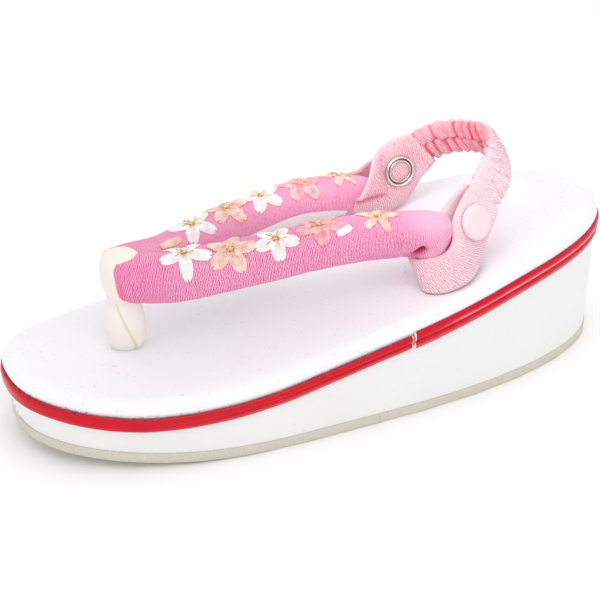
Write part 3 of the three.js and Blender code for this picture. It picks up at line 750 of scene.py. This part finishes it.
def strapShell(side):
    places, lengths = evenPlaces(strap["rows"], strap["steps"])
    rows = tableAt(strap["rows"], places)
    middle = rows[:, :3] * (1, side, 1)
    if side > 0:
        middle[:, 2] -= rows[:, 5]
        rows[:, 4] -= strap["dropThins"] * rows[:, 5]
    ahead = unit(np.gradient(middle, axis=0))
    inward = unit(np.cross(ahead, (0, 0, 1))) * side
    up = unit(np.cross(inward, ahead) * side)
    c, s, share = superLoop(strap["around"], strap["roundness"], strap["seamDegrees"])
    points = middle[:, None] + spread(inward, rows[:, 3, None] * c) + spread(up, rows[:, 4, None] * s)
    slant = strap["frontSlant"] * (1 - smoothStep(*strap["slantRun"], lengths))
    back = strap["slantTop"] - points[..., 2]
    if side > 0:
        back = np.maximum(back, 0)  # this roll's front stays behind the loop
    points[..., 0] += slant[:, None] * back * smoothStep(*strap["slantOut"], np.abs(points[..., 1]))
    points[..., 1] = side * np.maximum(points[..., 1] * side, strap["pressGap"])
    u, v = np.meshgrid(lengths, share * strap["girth"], indexing="ij")
    x, turn = np.meshgrid(rows[:, 0], strap["seamDegrees"] + share * 360, indexing="ij")
    normal = gridNormals(points) * -side

    start, end, patch = (np.array((x0, (degrees + 360) * strap["perDegree"]))
                         for x0, degrees in (strap["pinchFrom"], strap["pinchTo"], strap["shadeAt"]))
    spot = np.stack([x, turn * strap["perDegree"]], -1)
    along = np.clip(((spot - start) * (end - start)).sum(axis=-1) / ((end - start) ** 2).sum(), 0, 1)
    away = np.linalg.norm(spot - start - along[..., None] * (end - start), axis=-1)
    pinch = hill(away, 0, strap["pinchSize"])
    dent = hill(away, 0, strap["dentSize"])
    shade = hill(np.linalg.norm(spot - patch, axis=-1), 0, strap["shadeSize"])
    inner = curveThrough(strap["liningX"], strap["liningDegrees"], x)[..., 0]
    outer = strap["outerLining"] + 360 + strap["outerDrop"] * smoothStep(*strap["outerDropX"], x)
    lining = np.maximum(inner - turn, turn - outer) * strap["perDegree"]
    lining -= strap["liningGone"] * smoothStep(*strap["liningGoneX"], x)

    swell = sum(height * wander(size, seed + side, u, v) for height, size, seed in strap["puff"])
    swell -= strap["pinchDeep"] * pinch + strap["dentDeep"] * dent
    swell -= strap["edgeGroove"] * hill(lining, 0, strap["edgeSize"])
    swell -= strap["liningSink"] * smoothStep(0, strap["sinkWide"], lining)
    points = points + normal * swell[..., None]
    frontEdge = (1 - smoothStep(*strap["edgeRun"], u)) * strap["edgeShare"]
    frontEdge *= smoothStep(*strap["edgeRise"], middle[:, None, 2] - points[..., 2])
    # painted highlight on the top of the roll's end, which is paler all round
    onTop = smoothStep(0.0, 0.8, normal[..., 2])
    paleAndPaintedLight = strap["paintedTopLight"] * smoothStep(*strap["paintedTopLightX"], x) * onTop
    paleAndPaintedLight += strap["paleSide"] * smoothStep(*strap["paleSideX"], x) * (1 - onTop)
    if side > 0:
        facing = smoothStep(0.0, 0.8, -normal[..., 1])
        paleAndPaintedLight += strap["paintedInnerLight"] * facing * (1 - smoothStep(*strap["innerX"], x))
    vivid = strap["frontVivid"] * (1 - smoothStep(*strap["vividRun"], u))
    vivid *= smoothStep(0.1, 0.7, normal[..., 1] * side)
    return {
        "points": points, "normal": gridNormals(points) * -side, "lengths": lengths, "x": rows[:, 0],
        "attributes": {
            # painted shade in the pinch, in its dent and in the patch in front of it
            "pinch": pinch + strap["dentShade"] * dent + strap["shadeShare"] * shade, "lining": lining,
            "frontEdge": frontEdge, "paleAndPaintedLight": paleAndPaintedLight, "vivid": vivid,
        },
    }


def strapPlace(shell, length, girth, lift):
    # a point on the cloth of a strap, at a length along it and a distance round it
    i = np.interp(length, shell["lengths"], np.arange(strap["steps"]))
    j = girth / strap["girth"] * strap["around"]
    i0 = np.clip(np.floor(i).astype(int), 0, strap["steps"] - 2)
    j0 = np.floor(j).astype(int)
    a, b = (i - i0)[..., None], (j - j0)[..., None]
    def blend(field):
        near, far = (field[:, k % strap["around"]] for k in (j0, j0 + 1))
        pick = np.arange(len(i0))
        return ((near[i0, pick] * (1 - b) + far[i0, pick] * b) * (1 - a)
                + (near[i0 + 1, pick] * (1 - b) + far[i0 + 1, pick] * b) * a)
    return blend(shell["points"]) + unit(blend(shell["normal"])) * np.asarray(lift)[..., None]


stem = {
    # the roll's end, gathered and sewn down inside the tab: x, out, z of its foot and top
    "foot": (28.6, 26.8, 33.0), "top": (26.6, 22.4, 45.0), "radiusFoot": 3.4, "radiusTop": 4.2,
    "gathers": 7, "gatherDeep": 0.03, "rings": 24, "around": 40, "long": 15, "girth": 19, "noLining": -5.0,
}


def buildStem(side):
    foot, top = np.array(stem["foot"]) * (1, side, 1), np.array(stem["top"]) * (1, side, 1)
    t = np.linspace(0, 1, stem["rings"])
    ahead = unit(top - foot)
    across = unit(np.cross(ahead, (0, 1, 0)))
    other = np.cross(ahead, across)
    turn = np.linspace(0, 2 * np.pi, stem["around"], endpoint=False)
    radius = stem["radiusFoot"] + (stem["radiusTop"] - stem["radiusFoot"]) * t
    radius = radius[:, None] * (1 + stem["gatherDeep"] * np.cos(turn * stem["gathers"]))
    spoke = across * np.cos(turn)[:, None] + other * np.sin(turn)[:, None]
    points = (foot + (top - foot) * t[:, None])[:, None] + spoke * radius[..., None]
    uv = gridUv(t * stem["long"], np.linspace(0, stem["girth"], stem["around"] + 1))
    noLining = {"lining": np.full(points.shape[:2], stem["noLining"])}
    return gridMesh("stem", points, uv, finish["pink"], noLining)


def buildStraps():
    pieces = []
    for side, shell in strapShells.items():
        uv = gridUv(shell["lengths"], np.linspace(0, strap["girth"], strap["around"] + 1))
        pieces.append(gridMesh("roll", shell["points"], uv, finish["pink"], shell["attributes"], sharp=80))
        pieces.append(buildStem(side))
    return joinPieces("thong_straps_crepe", pieces)


strapShells = {side: strapShell(side) for side in sideName}
strapPiece = handIn(buildStraps(), "pink_crepe", "thong_straps")


blossom = {
    # side, x, degrees round the roll, reach of the petals, turn, colour, petals
    "rows": [
        (-1, -43.0, 103, 8.4, 196, "white", 5), (-1, -30.6, 119, 7.2, 216, "beige", 5),
        (-1, -18.5, 116, 6.5, 196, "white", 5), (-1, -5.8, 97, 7.2, 194, "salmon", 5),
        (-1, -0.4, 132, 5.8, 200, "white", 1), (-1, 10.8, 103, 6.2, 220, "star", 5),
        (1, -45.0, 60, 8.4, 182, "beige", 1), (1, -34.8, 88, 7.4, 236, "white", 5),
        (1, -22.8, 92, 7.2, 215, "beige", 5), (1, -11.6, 86, 6.8, 235, "white", 5),
        (1, 1.4, 82, 7.0, 225, "salmon", 5), (1, 14.8, 90, 6.0, 234, "star", 5),
    ],
    "petalFrom": 0.8, "petalHalfWide": 1.95, "starHalfWide": 1.15, "petalTurn": 72,
    "threadGap": 0.28, "threadRadius": 0.18, "threadSides": 6, "lift": 0.1, "dome": 0.36,
    "notchDeep": 0.12, "notchSize": 0.24, "tipRound": 0.16,
    "goldRadius": 0.11, "goldSides": 5, "goldLift": 0.18, "goldOut": 1.02, "goldEnds": (0.02, 0.95),
    "stamens": [(-14, 2.5), (9, 3.2)],  # turn and length of each
    "stamenLift": 0.45, "stamenRise": 0.1,
}


def petalShape(t):
    # half width of a petal along its length, as a share of the widest
    return np.clip(np.sin(np.pi * (0.1 + 0.9 * t) ** 0.85) ** 0.75 + 0.42 * t ** 3, 0, 1.05)


def blossomThreads():
    # polylines of satin stitches, gold outlines and gold stamens, by colour
    lines = {"white": [], "salmon": [], "beige": [], "gold": []}
    for side, x, degrees, reach, turn, colour, petals in blossom["rows"]:
        shell = strapShells[side]
        length0 = np.interp(x, shell["x"], shell["lengths"])
        girth0 = ((degrees - strap["seamDegrees"]) % 360) / 360 * strap["girth"]
        narrow = colour == "star" or petals == 1
        half = blossom["starHalfWide" if narrow else "petalHalfWide"]
        silk = lines["beige" if colour == "star" else colour]
        start = blossom["petalFrom"] if petals > 1 else -reach / 2
        long = reach - blossom["petalFrom"]
        def place(forward, sideways, angle, lift):
            a = math.radians(angle)
            du = forward * math.cos(a) - sideways * math.sin(a)
            dv = forward * math.sin(a) + sideways * math.cos(a)
            return strapPlace(shell, length0 + du, girth0 + dv * side, lift)
        for angle in turn + blossom["petalTurn"] * np.arange(petals):
            count = int(2 * half / blossom["threadGap"])
            for f in (np.arange(count) + 0.5) / count * 2 - 1:
                notch = blossom["notchDeep"] * hill(f, 0, blossom["notchSize"])
                t = np.linspace(0.04, 1 - notch - blossom["tipRound"] * abs(f) ** 3, 7)
                lift = blossom["lift"] + blossom["dome"] * (1 - f * f) * np.sin(np.pi * t) ** 0.6
                silk.append(place(start + t * long, f * half * petalShape(t), angle, lift))
            if colour != "white":
                t = np.linspace(*blossom["goldEnds"], 10)
                for edge in (-half, half):
                    sideways = edge * petalShape(t) * blossom["goldOut"]
                    lines["gold"].append(place(start + t * long, sideways, angle, blossom["goldLift"]))
            for swing, reachOut in blossom["stamens"] if petals > 1 else ():
                t = np.linspace(0.0, reachOut, 6)
                lift = blossom["stamenLift"] + blossom["stamenRise"] * t
                lines["gold"].append(place(t, t * 0, angle + swing, lift))
    return lines


def makeThreadTree():
    # lays a round thread along each polyline
    tree = bpy.data.node_groups.new("layThread", "GeometryNodeTree")
    sockets = {}
    for label, kind in (("Lines", "NodeSocketGeometry"), ("Thread Radius", "NodeSocketFloat"),
                        ("Sides", "NodeSocketInt"), ("Thread", "NodeSocketMaterial")):
        sockets[label] = tree.interface.new_socket(name=label, in_out="INPUT", socket_type=kind).identifier
    tree.interface.new_socket(name="Stitches", in_out="OUTPUT", socket_type="NodeSocketGeometry")
    source = tree.nodes.new("NodeGroupInput").outputs
    curve = addNode(tree, "GeometryNodeMeshToCurve", {"Mesh": source["Lines"]}).outputs[0]
    ring = addNode(tree, "GeometryNodeCurvePrimitiveCircle",
                   {"Resolution": source["Sides"], "Radius": source["Thread Radius"]}).outputs[0]
    thread = addNode(tree, "GeometryNodeCurveToMesh",
                     {"Curve": curve, "Profile Curve": ring, "Fill Caps": True}).outputs[0]
    smooth = addNode(tree, "GeometryNodeSetShadeSmooth", {0: thread}).outputs[0]
    real = addNode(tree, "GeometryNodeRealizeInstances", {0: smooth}).outputs[0]
    painted = addNode(tree, "GeometryNodeSetMaterial", {"Geometry": real, "Material": source["Thread"]})
    tree.links.new(painted.outputs[0], tree.nodes.new("NodeGroupOutput").inputs[0])
    return tree, sockets


threadTree, threadSockets = makeThreadTree()


def layThreads(name, lines, radius, sides, material):
    edges, start = [], 0
    for line in lines:
        edges += [(start + k, start + k + 1) for k in range(len(line) - 1)]
        start += len(line)
    guide = bpy.data.meshes.new(name + "Guide")
    guide.from_pydata((np.vstack(lines) * mm).tolist(), edges, [])
    worker = addObject(name + "Guide", guide)
    modifier = worker.modifiers.new("threads", "NODES")
    modifier.node_group = threadTree
    modifier[threadSockets["Thread Radius"]] = radius * mm
    modifier[threadSockets["Sides"]] = sides
    modifier[threadSockets["Thread"]] = material
    worker.update_tag()
    evaluated = worker.evaluated_get(bpy.context.evaluated_depsgraph_get())
    mesh = bpy.data.meshes.new_from_object(evaluated)
    mesh.name = name
    worker.modifiers.clear()
    bpy.data.objects.remove(worker)
    bpy.data.meshes.remove(guide)
    return addObject(name, mesh)


for colour, lines in blossomThreads().items():
    kind = "gold" if colour == "gold" else "thread"
    radius, sides = blossom[kind + "Radius"], blossom[kind + "Sides"]
    handIn(layThreads("blossom_" + colour, lines, radius, sides, finish[colour]), "pink_crepe")


post = {
    "x": -59.7, "flatten": 0.98, "stemRings": 60, "stemAround": 96, "stemGirth": 31,
    # height and radius, up the stem
    "stem": [(17.5, 3.2), (20.8, 3.2), (21.8, 3.7), (23.2, 4.8), (25.0, 5.4),
             (27.5, 5.7), (31.0, 5.55), (34.0, 5.1), (36.5, 4.7), (38.0, 4.6)],
    # degrees of the lapped fold at its top and foot; the upper layer lies over the lower and fades out
    "foldTop": -132, "foldFoot": -68, "foldZ": (22, 37), "foldDeep": 0.32, "foldSize": 6.0,
    "lapThick": 0.5, "lapEdge": (-3, 3), "lapFade": (20, 130),
    "stemLump": 0.12, "stemPatch": 3.0, "loopLump": 0.15, "loopPatch": 4.0,
    "loopX": -58.9, "loopZ": 43.3, "loopLong": 6.1, "loopTall": 7.6, "loopRoundness": 2.6,
    "loopRings": 120, "loopAround": 28, "loopRun": 42, "loopGirth": 22, "stripRoundness": 2.8,
    # width and thickness of the loop's strip, by degrees round it
    "loopDegrees": [0, 90, 180, 225, 270, 360],
    "loopSize": [(5, 2.6), (9.8, 2.6), (12.4, 3.2), (11.8, 5.2), (10, 3.4), (5, 2.6)],
}


def buildPostStem():
    heights, radii = zip(*post["stem"])
    z = np.linspace(heights[0], heights[-1], post["stemRings"])
    turn = np.linspace(-180, 180, post["stemAround"], endpoint=False)
    fold = np.interp(z, post["foldZ"], (post["foldFoot"], post["foldTop"]))
    fromFold = turn - fold[:, None]
    groove = hill(fromFold, 0, post["foldSize"])
    lap = smoothStep(*post["lapEdge"], fromFold) * (1 - smoothStep(*post["lapFade"], fromFold))
    size = curveThrough(heights, radii, z) + post["lapThick"] * lap - post["foldDeep"] * groove
    a = np.radians(turn)
    spoke = np.stack([np.cos(a), np.sin(a), 0 * a], -1)
    points = spoke * (1, post["flatten"], 0) * size[..., None]
    points += np.array((post["x"], 0, 0)) + spread(np.outer(z, (0, 0, 1)), np.ones_like(size))
    lumps = post["stemLump"] * wander(post["stemPatch"], 0.0, *np.moveaxis(points, -1, 0))
    points += spoke * lumps[..., None]
    uv = gridUv(z, np.linspace(0, post["stemGirth"], post["stemAround"] + 1))
    # the fold's groove is also painted as shade
    return gridMesh("stem", points, uv, finish["cream"], {"fold": groove}, sharp=80)


def buildPostLoop():
    degrees = np.arange(post["loopRings"]) / post["loopRings"] * 360
    wide, thick = (curveThrough(post["loopDegrees"], post["loopSize"], degrees) / 2).T
    c, s = squircle(np.radians(degrees), post["loopRoundness"])
    middle = np.stack([post["loopLong"] * c, 0 * c, post["loopTall"] * s], -1)
    middle += (post["loopX"], 0, post["loopZ"])
    away = unit(np.stack([c / post["loopLong"], 0 * c, s / post["loopTall"]], -1))
    out, across, share = superLoop(post["loopAround"], post["stripRoundness"])
    points = middle[:, None] + spread(away, thick[:, None] * (out - 1))
    points[..., 1] += wide[:, None] * across
    points += spread(away, post["loopLump"] * wander(post["loopPatch"], 0.0, *np.moveaxis(points, -1, 0)))
    uv = gridUv(np.linspace(0, post["loopRun"], len(degrees) + 1), np.append(share, 1) * post["loopGirth"])
    noFold = {"fold": np.zeros(points.shape[:2])}
    return gridMesh("loop", points, uv, finish["cream"], noFold, wrapAlong=True, sharp=80)


postPiece = joinPieces("toe_post_velvet", [buildPostStem(), buildPostLoop()])
handIn(postPiece, "cream_velvet", "toe_post")


tab = {
    # lower edge x, out, z and upper edge x, out, z of the folded strip, from its outer end to its inner end
    "left": [
        (50.9, 18.8, 50.4, 40.2, 17.8, 59.4), (44.8, 22.6, 44.4, 34.0, 21.6, 54.2),
        (41.4, 25.0, 40.8, 30.7, 24.2, 50.1), (37.8, 29.2, 38.6, 29.9, 26.8, 48.1),
        (32.8, 32.4, 36.3, 27.8, 27.6, 45.2), (26.5, 32.2, 34.4, 25.0, 26.9, 43.6),
        (22.6, 30.2, 33.7, 21.8, 24.8, 42.6), (21.2, 27.4, 33.6, 20.2, 22.0, 41.8),
        (22.8, 24.2, 34.2, 20.6, 18.4, 41.5), (27.5, 21.2, 35.3, 23.0, 13.4, 43.5),
        (33.5, 20.5, 37.6, 27.5, 15.0, 47.7), (39.4, 23.3, 40.4, 29.5, 19.2, 52.3),
        (43.5, 20.7, 43.8, 32.0, 18.4, 54.8), (49.5, 16.9, 49.9, 40.0, 15.6, 59.0),
    ],
    # the right one is pulled higher and leans outward
    "right": [
        (50.0, 18.8, 53.1, 42.0, 20.3, 61.9), (44.0, 22.6, 45.3, 36.2, 25.0, 56.2),
        (40.4, 25.0, 40.8, 33.8, 24.6, 54.3), (36.6, 29.2, 38.6, 31.2, 26.8, 51.8),
        (32.0, 32.4, 36.4, 28.6, 29.2, 48.6), (26.5, 32.2, 34.7, 25.2, 29.5, 47.7),
        (22.6, 30.2, 34.0, 21.8, 26.4, 44.2), (21.2, 27.4, 33.8, 20.2, 22.0, 41.8),
        (24.0, 24.2, 34.4, 18.8, 15.8, 41.7), (33.0, 20.4, 36.6, 19.2, 11.0, 46.2),
        (39.5, 19.5, 38.6, 24.8, 14.4, 51.3), (43.0, 19.5, 41.4, 29.2, 19.2, 56.6),
        (45.4, 17.2, 47.4, 34.6, 21.8, 59.3), (48.9, 15.2, 53.2, 41.2, 18.0, 62.7),
    ],
    "thick": 1.5, "steps": 150, "across": 20, "cornerRadius": 2.2,
    "hemThick": 0.12, "hemAt": 0.86, "hemSize": 0.07, "hemShade": 0.8,  # turned hem along both edges
    "endThin": 0.15, "endRun": 7,  # the outer end thins out on the band
    "crumple": 0.22, "crumplePatch": 3.6,
    # the crease where the inner layer turns under the roll: its rows at the upper edge and at the lower one
    "creaseTop": 9.0, "creaseFoot": 10.7, "creaseDeep": 1.0, "creaseSize": 0.14, "creaseShade": 0.7,
    "innerFrom": (0.55, 0.7), "innerShade": 0.12, "hiddenShade": 0.32,
    # row and share of the way across of each half of the snap, which presses the cloth flat
    "capAt": {"left": (1, 0.5), "right": (1, 0.5)}, "ringAt": {"left": (11.9, 0.5), "right": (11.45, 0.46)},
    "pressed": (5.4, 9.0), "pressedRows": 2,
}


def tabStrip(side, places):
    rows = tableAt(tab[sideName[side]], places)
    return rows[..., :3] * (1, side, 1), rows[..., 3:] * (1, side, 1)


def tabPlace(side, half):
    # where half of the snap sits on the strip, and the way out of the strip's face there
    row, share = tab[half][sideName[side]]
    low, high = tabStrip(side, np.array([row - 0.4, row, row + 0.4]))
    middle = low + (high - low) * share
    return middle[1], unit(np.cross(unit(high[1] - low[1]), middle[2] - middle[0])) * -side


def buildTab(side):
    label = sideName[side]
    places = np.linspace(0, len(tab[label]) - 1, tab["steps"])
    low, high = tabStrip(side, places)
    middle = (low + high) / 2
    lengths = runAlong(middle)
    wide = np.linalg.norm(high - low, axis=1)
    outward = unit(np.cross(unit(high - low), np.gradient(middle, axis=0))) * -side
    share = (1 - np.cos(np.linspace(0, np.pi, tab["across"]))) / 2
    edge = np.abs(2 * share - 1)
    thick = tab["thick"] / 2 * (1 - edge ** 9) ** (1 / 3)
    thick += tab["hemThick"] * hill(edge, tab["hemAt"], tab["hemSize"])
    thick = np.concatenate([thick, -thick[-2:0:-1]])
    share = np.concatenate([share, share[-2:0:-1]])
    radius = tab["cornerRadius"]
    cut = radius - np.sqrt(radius ** 2 - (radius - np.minimum(lengths, radius)) ** 2)
    share = 0.5 + (share - 0.5) * (1 - 2 * cut / wide)[:, None]  # rounded corners at the outer end
    girth = share * wide[:, None]
    sheet = low[:, None] + spread(high - low, share)
    thin = tab["endThin"] + (1 - tab["endThin"]) * smoothStep(0, tab["endRun"], lengths)
    points = sheet + spread(outward, thin[:, None] * thick)

    crumple = tab["crumple"] * wander(tab["crumplePatch"], 7.0 + side, lengths[:, None], girth)
    crumple *= smoothStep(0, 0.12, 1 - np.abs(2 * share - 1))
    creaseAt = tab["creaseFoot"] + (tab["creaseTop"] - tab["creaseFoot"]) * share
    crease = hill(places[:, None], creaseAt, tab["creaseSize"]) * smoothStep(0.3, 0.6, share)
    calm = np.ones_like(crumple)
    for half in ("capAt", "ringAt"):
        centre, facing = tabPlace(side, half)
        height = (sheet - centre) @ facing
        away = np.linalg.norm(sheet - centre - height[..., None] * facing, axis=-1)
        layer = np.abs(places - tab[half][label][0]) < tab["pressedRows"]
        pressed = (1 - smoothStep(*tab["pressed"], away)) * layer[:, None]
        points = points - facing * (height * pressed)[..., None]
        calm = calm * (1 - pressed)
    points = points + spread(outward, calm * (crumple - tab["creaseDeep"] * crease))

    # painted shade: the inner layer is painted a deeper pink than the outer one, and so is the back of the
    # outer one, and the crease is painted darker
    inner = smoothStep(*tab["innerFrom"], lengths / lengths[-1])[:, None]
    hidden = tab["hiddenShade"] * smoothStep(0.1, 0.2, -thick) * (1 - inner)
    shades = {
        "paintedShade": tab["innerShade"] * inner + hidden + tab["creaseShade"] * crease,
        "hem": tab["hemShade"] * smoothStep(0.9, 0.98, np.abs(2 * share - 1)),  # no weave on the thin edge
    }
    across = np.concatenate([girth, girth[:, :1]], axis=1)
    uv = np.stack(np.broadcast_arrays(lengths[:, None], across), -1)
    piece = gridMesh("heel_tab_%s_crepe" % label, points, uv, finish["pale"], shades, sharp=80)
    handIn(piece, "pale_crepe", "heel_tab_" + label)
    print(piece.name, "strip", round(wide.mean(), 1), "by", round(lengths[-1], 1), "mm")
    return piece


for side in sideName:
    piece = buildTab(side)


snap = {
    # radius and height of points along each half's section
    "capProfile": [(0, 1.72), (2.5, 1.72), (3.9, 1.64), (4.65, 1.4), (5.1, 0.95),
                   (5.2, 0.5), (5.05, 0.1), (4.7, 0.0), (0, 0)],
    "ringProfile": [(3.2, 0.0), (3.2, 0.25), (3.35, 0.46), (3.6, 0.4), (3.75, 0.12), (4.0, 0.14),
                    (4.2, 0.6), (4.5, 0.8), (4.8, 0.62), (4.95, 0.25), (4.9, 0.0)],
    "sides": 72, "capSeat": 0.3, "ringSeat": 0.2, "girth": 30,
    "grooveShadeBelow": (0.1, 0.35),  # painted shade, dark in the grooves
}


def turnedPiece(name, half, side, closed):
    middle, outward = tabPlace(side, half + "At")
    profile = snap[half + "Profile"]
    last = len(profile) - 1
    radius, height = tableAt(profile, np.linspace(0, last, last * 3 + 1)).T
    across = unit(np.cross(outward, (0, 0, 1)))
    turn = np.linspace(0, 2 * np.pi, snap["sides"], endpoint=False)[:, None]
    spoke = across * np.cos(turn) + np.cross(outward, across) * np.sin(turn)
    base = middle + outward * (tab["thick"] / 2 + snap[half + "Seat"])
    points = base + spoke * radius[:, None, None] + outward * height[:, None, None]
    uv = gridUv(np.arange(len(radius) + 1), np.linspace(0, snap["girth"], snap["sides"] + 1))
    # painted shade low on each half, where its grooves are
    dark = np.outer(1 - smoothStep(*snap["grooveShadeBelow"], height), np.ones(snap["sides"]))
    return gridMesh(name, points, uv, finish[half], {"grooveShade": dark}, wrapAlong=closed, ends=False, sharp=50)


for side, label in sideName.items():
    cap = turnedPiece("snap_cap_%s_disc" % label, "cap", side, False)
    ring = turnedPiece("snap_ring_%s_metal" % label, "ring", side, True)
    handIn(cap, "snap_plastic", "snap_cap_" + label)
    handIn(ring, "snap_metal", "snap_ring_" + label)


heelBand = {
    # x, out, z, lean of the band in degrees, how much higher and further out it stands on the right
    "rows": [(42.1, 19.1, 52.5, 42, 3.0, 1.3), (46.1, 16.9, 55.4, 40, 2.9, 0.9),
             (51.4, 14.0, 59.2, 38, 1.9, 0.4), (55.8, 9.0, 61.8, 34, 0.8, 0),
             (58.2, 4.2, 63.0, 31, 0, 0), (58.9, 0, 63.4, 30, 0, 0)],
    "halfWide": 6.4, "halfThick": 1.9, "steps": 500, "around": 96, "roundness": 2.6, "girth": 29,
    "pleat": 3.1, "pleatDeep": 0.95, "pleatSlope": 0.8, "pleatMiddle": 0.62,
    "edgeLumps": 0.85, "lump": 0.22,
    # the line of gathering stitches
    "heading": 0.1, "headingDrift": 0.16, "stitchDeep": 0.4, "stitchSize": 0.1,
    "outerCalm": 0.3,  # the outer face is pulled flatter than the inner one
    "tucked": 5.0,  # how far each end lies between the layers of its tab
    # stretched wider over the left end, with pulled folds on the outer face there
    "broadAt": 14.0, "broad": 0.8, "broadSize": 8,
    "wrinkle": 3.2, "wrinkleDeep": 0.5, "wrinkleSlope": 3.5, "wrinkleSize": 7,
    # painted shade, deeper pink: in the creases (kept a little on the outer face), over the inner face,
    # most in its middle, and in the wrinkles
    "creaseShade": 0.75, "creaseOuter": 0.08, "innerShade": 0.32, "deepShade": 0.16, "wrinkleShade": 0.3,
    "deepAt": 0.55, "deepSize": 0.16,
}


def buildHeelBand():
    left = [row[:4] for row in heelBand["rows"]]
    right = [(x, -out - apart, z + rise, lean) for x, out, z, lean, rise, apart in heelBand["rows"][-2::-1]]
    places, lengths = evenPlaces(left + right, heelBand["steps"])
    path = tableAt(left + right, places)
    middle = path[:, :3] * (1, -1, 1)
    ahead = unit(np.gradient(middle, axis=0))
    lean = np.radians(path[:, 3])
    across = np.stack([-np.sin(lean), 0 * lean, np.cos(lean)], -1)
    across = unit(across - ahead * (across * ahead).sum(axis=1, keepdims=True))
    outward = np.cross(ahead, across)
    c, s, share = superLoop(heelBand["around"], heelBand["roundness"], 270)
    u, rise = np.meshgrid(lengths, c, indexing="ij")
    face = np.broadcast_to(s, u.shape)
    def lumps(size, seed):
        return wander(size, seed, u, 2.5 * rise, 4 * face)

    # two rows of pleats, above and below the heading
    heading = heelBand["heading"] + heelBand["headingDrift"] * wander(4.0, 8.0, u, 4 * face)
    above = smoothStep(-0.08, 0.08, rise - heading)
    pleatAt = u + 1.5 * lumps(6.5, 2.0) + 0.5 * lumps(2.2, 5.0) - heelBand["pleatSlope"] * (rise - heading)
    pleatAt = pleatAt + heelBand["pleat"] * above * (0.45 + 0.4 * wander(8.0, 3.0, u))
    puff = np.abs(np.sin(pleatAt / heelBand["pleat"] * np.pi)) ** 1.1
    vary = np.clip(0.8 + 0.9 * wander(3.6, 6.0, u, 9 * above), 0.3, 1.2)
    groove = hill(rise, heading, heelBand["stitchSize"])
    outside = smoothStep(-0.06, 0.16, face)
    calm = (1 - heelBand["outerCalm"] * outside) * vary
    swell = heelBand["pleatDeep"] * calm * (puff - heelBand["pleatMiddle"])
    swell += heelBand["lump"] * lumps(1.5, 9.0) - heelBand["stitchDeep"] * groove * calm
    slanted = u + heelBand["wrinkleSlope"] * rise + 1.2 * lumps(3.0, 12.0)
    slanted = np.abs(np.sin(slanted / heelBand["wrinkle"] * np.pi))
    wrinkled = outside * hill(u, heelBand["broadAt"], heelBand["wrinkleSize"])
    swell += heelBand["wrinkleDeep"] * wrinkled * (slanted - 0.6)

    fromEnd = np.minimum(u, lengths[-1] - u)
    swell *= smoothStep(heelBand["tucked"] - 3, heelBand["tucked"] + 4, fromEnd)
    full = smoothStep(0, heelBand["tucked"] + 2, fromEnd)
    wide = heelBand["halfWide"] * (0.9 + 0.1 * full) + heelBand["edgeLumps"] * (puff - 0.6) * vary * full
    wide += heelBand["broad"] * hill(u, heelBand["broadAt"], heelBand["broadSize"])
    thick = heelBand["halfThick"] * (0.3 + 0.7 * full) * face + swell * np.sign(face) * np.abs(face) ** 0.3
    points = middle[:, None] + spread(across, wide * rise) + spread(outward, thick)

    # painted shade in the pleats' creases, on the inner face and in the wrinkles
    crease = np.clip((1 - puff) * 0.9 * vary + groove * 0.35 * vary - 0.25, 0, 1)
    deepest = hill(u / lengths[-1], heelBand["deepAt"], heelBand["deepSize"])
    paintedShade = heelBand["creaseShade"] * crease * (1 - (1 - heelBand["creaseOuter"]) * outside)
    paintedShade += (heelBand["innerShade"] + heelBand["deepShade"] * deepest) * (1 - outside)
    paintedShade += heelBand["wrinkleShade"] * wrinkled * (1 - slanted) ** 2
    uv = gridUv(lengths, np.append(share, 1) * heelBand["girth"])
    return gridMesh("heel_band_ruched", points, uv, finish["pale"], {"paintedShade": paintedShade}, sharp=80)


heelPiece = handIn(buildHeelBand(), "pale_crepe", "heel_band")


studio = {
    "eye": (-160.1, -323.3, 211.4), "target": (-5.23, 0, 23.74), "lens": 81.585,
    "sensor": 36, "nearest": 0.01,
    "worldStrength": 0.95, "floorHalf": 3.0, "floorRoughness": 0.9,
    # place, aim, size, power and spread in degrees of each soft light
    "lights": {
        "keyLight": ((-250, 150, 800), (0, 0, 20), 0.5, 0.2, 180),
        "fillLight": ((-100, -420, 640), (0, 0, 20), 0.5, 0.84, 180),
        "loopLight": ((-4, -10, 98), (40, 16, 56), 0.05, 0.0074, 95),  # for the inside of the heel loop
    },
}


def aimAt(thing, place, target):
    thing.location = Vector(place) * mm
    thing.rotation_mode = "QUATERNION"
    thing.rotation_quaternion = (Vector(target) - Vector(place)).to_track_quat("-Z", "Y")


def buildStudio():
    scene = bpy.context.scene
    scene.view_settings.view_transform = "Standard"
    world = bpy.data.worlds.new("studioWorld")
    world.use_nodes = True
    background = world.node_tree.nodes["Background"].inputs
    background["Color"].default_value = (1, 1, 1, 1)
    background["Strength"].default_value = studio["worldStrength"]
    scene.world = world
    half = studio["floorHalf"]
    mesh = bpy.data.meshes.new("floor")
    corners = [(-half, -half, 0), (half, -half, 0), (half, half, 0), (-half, half, 0)]
    mesh.from_pydata(corners, [], [(0, 1, 2, 3)])
    paper = {"Base Color": (1, 1, 1, 1), "Roughness": studio["floorRoughness"]}
    mesh.materials.append(newMaterial("floorPaper", **paper)[0])
    floor = addObject("floor", mesh)
    for name, (place, aim, size, power, spreadDegrees) in studio["lights"].items():
        light = bpy.data.lights.new(name, "AREA")
        light.size = size
        light.energy = power
        light.spread = math.radians(spreadDegrees)
        lamp = addObject(name, light)
        lamp.visible_camera = False
        aimAt(lamp, place, aim)
    camera = addObject("camera", bpy.data.cameras.new("camera"))
    camera.data.lens = studio["lens"]
    camera.data.sensor_width = studio["sensor"]
    camera.data.clip_start = studio["nearest"]
    aimAt(camera, studio["eye"], studio["target"])
    scene.camera = camera


buildStudio()
print("studio ready")
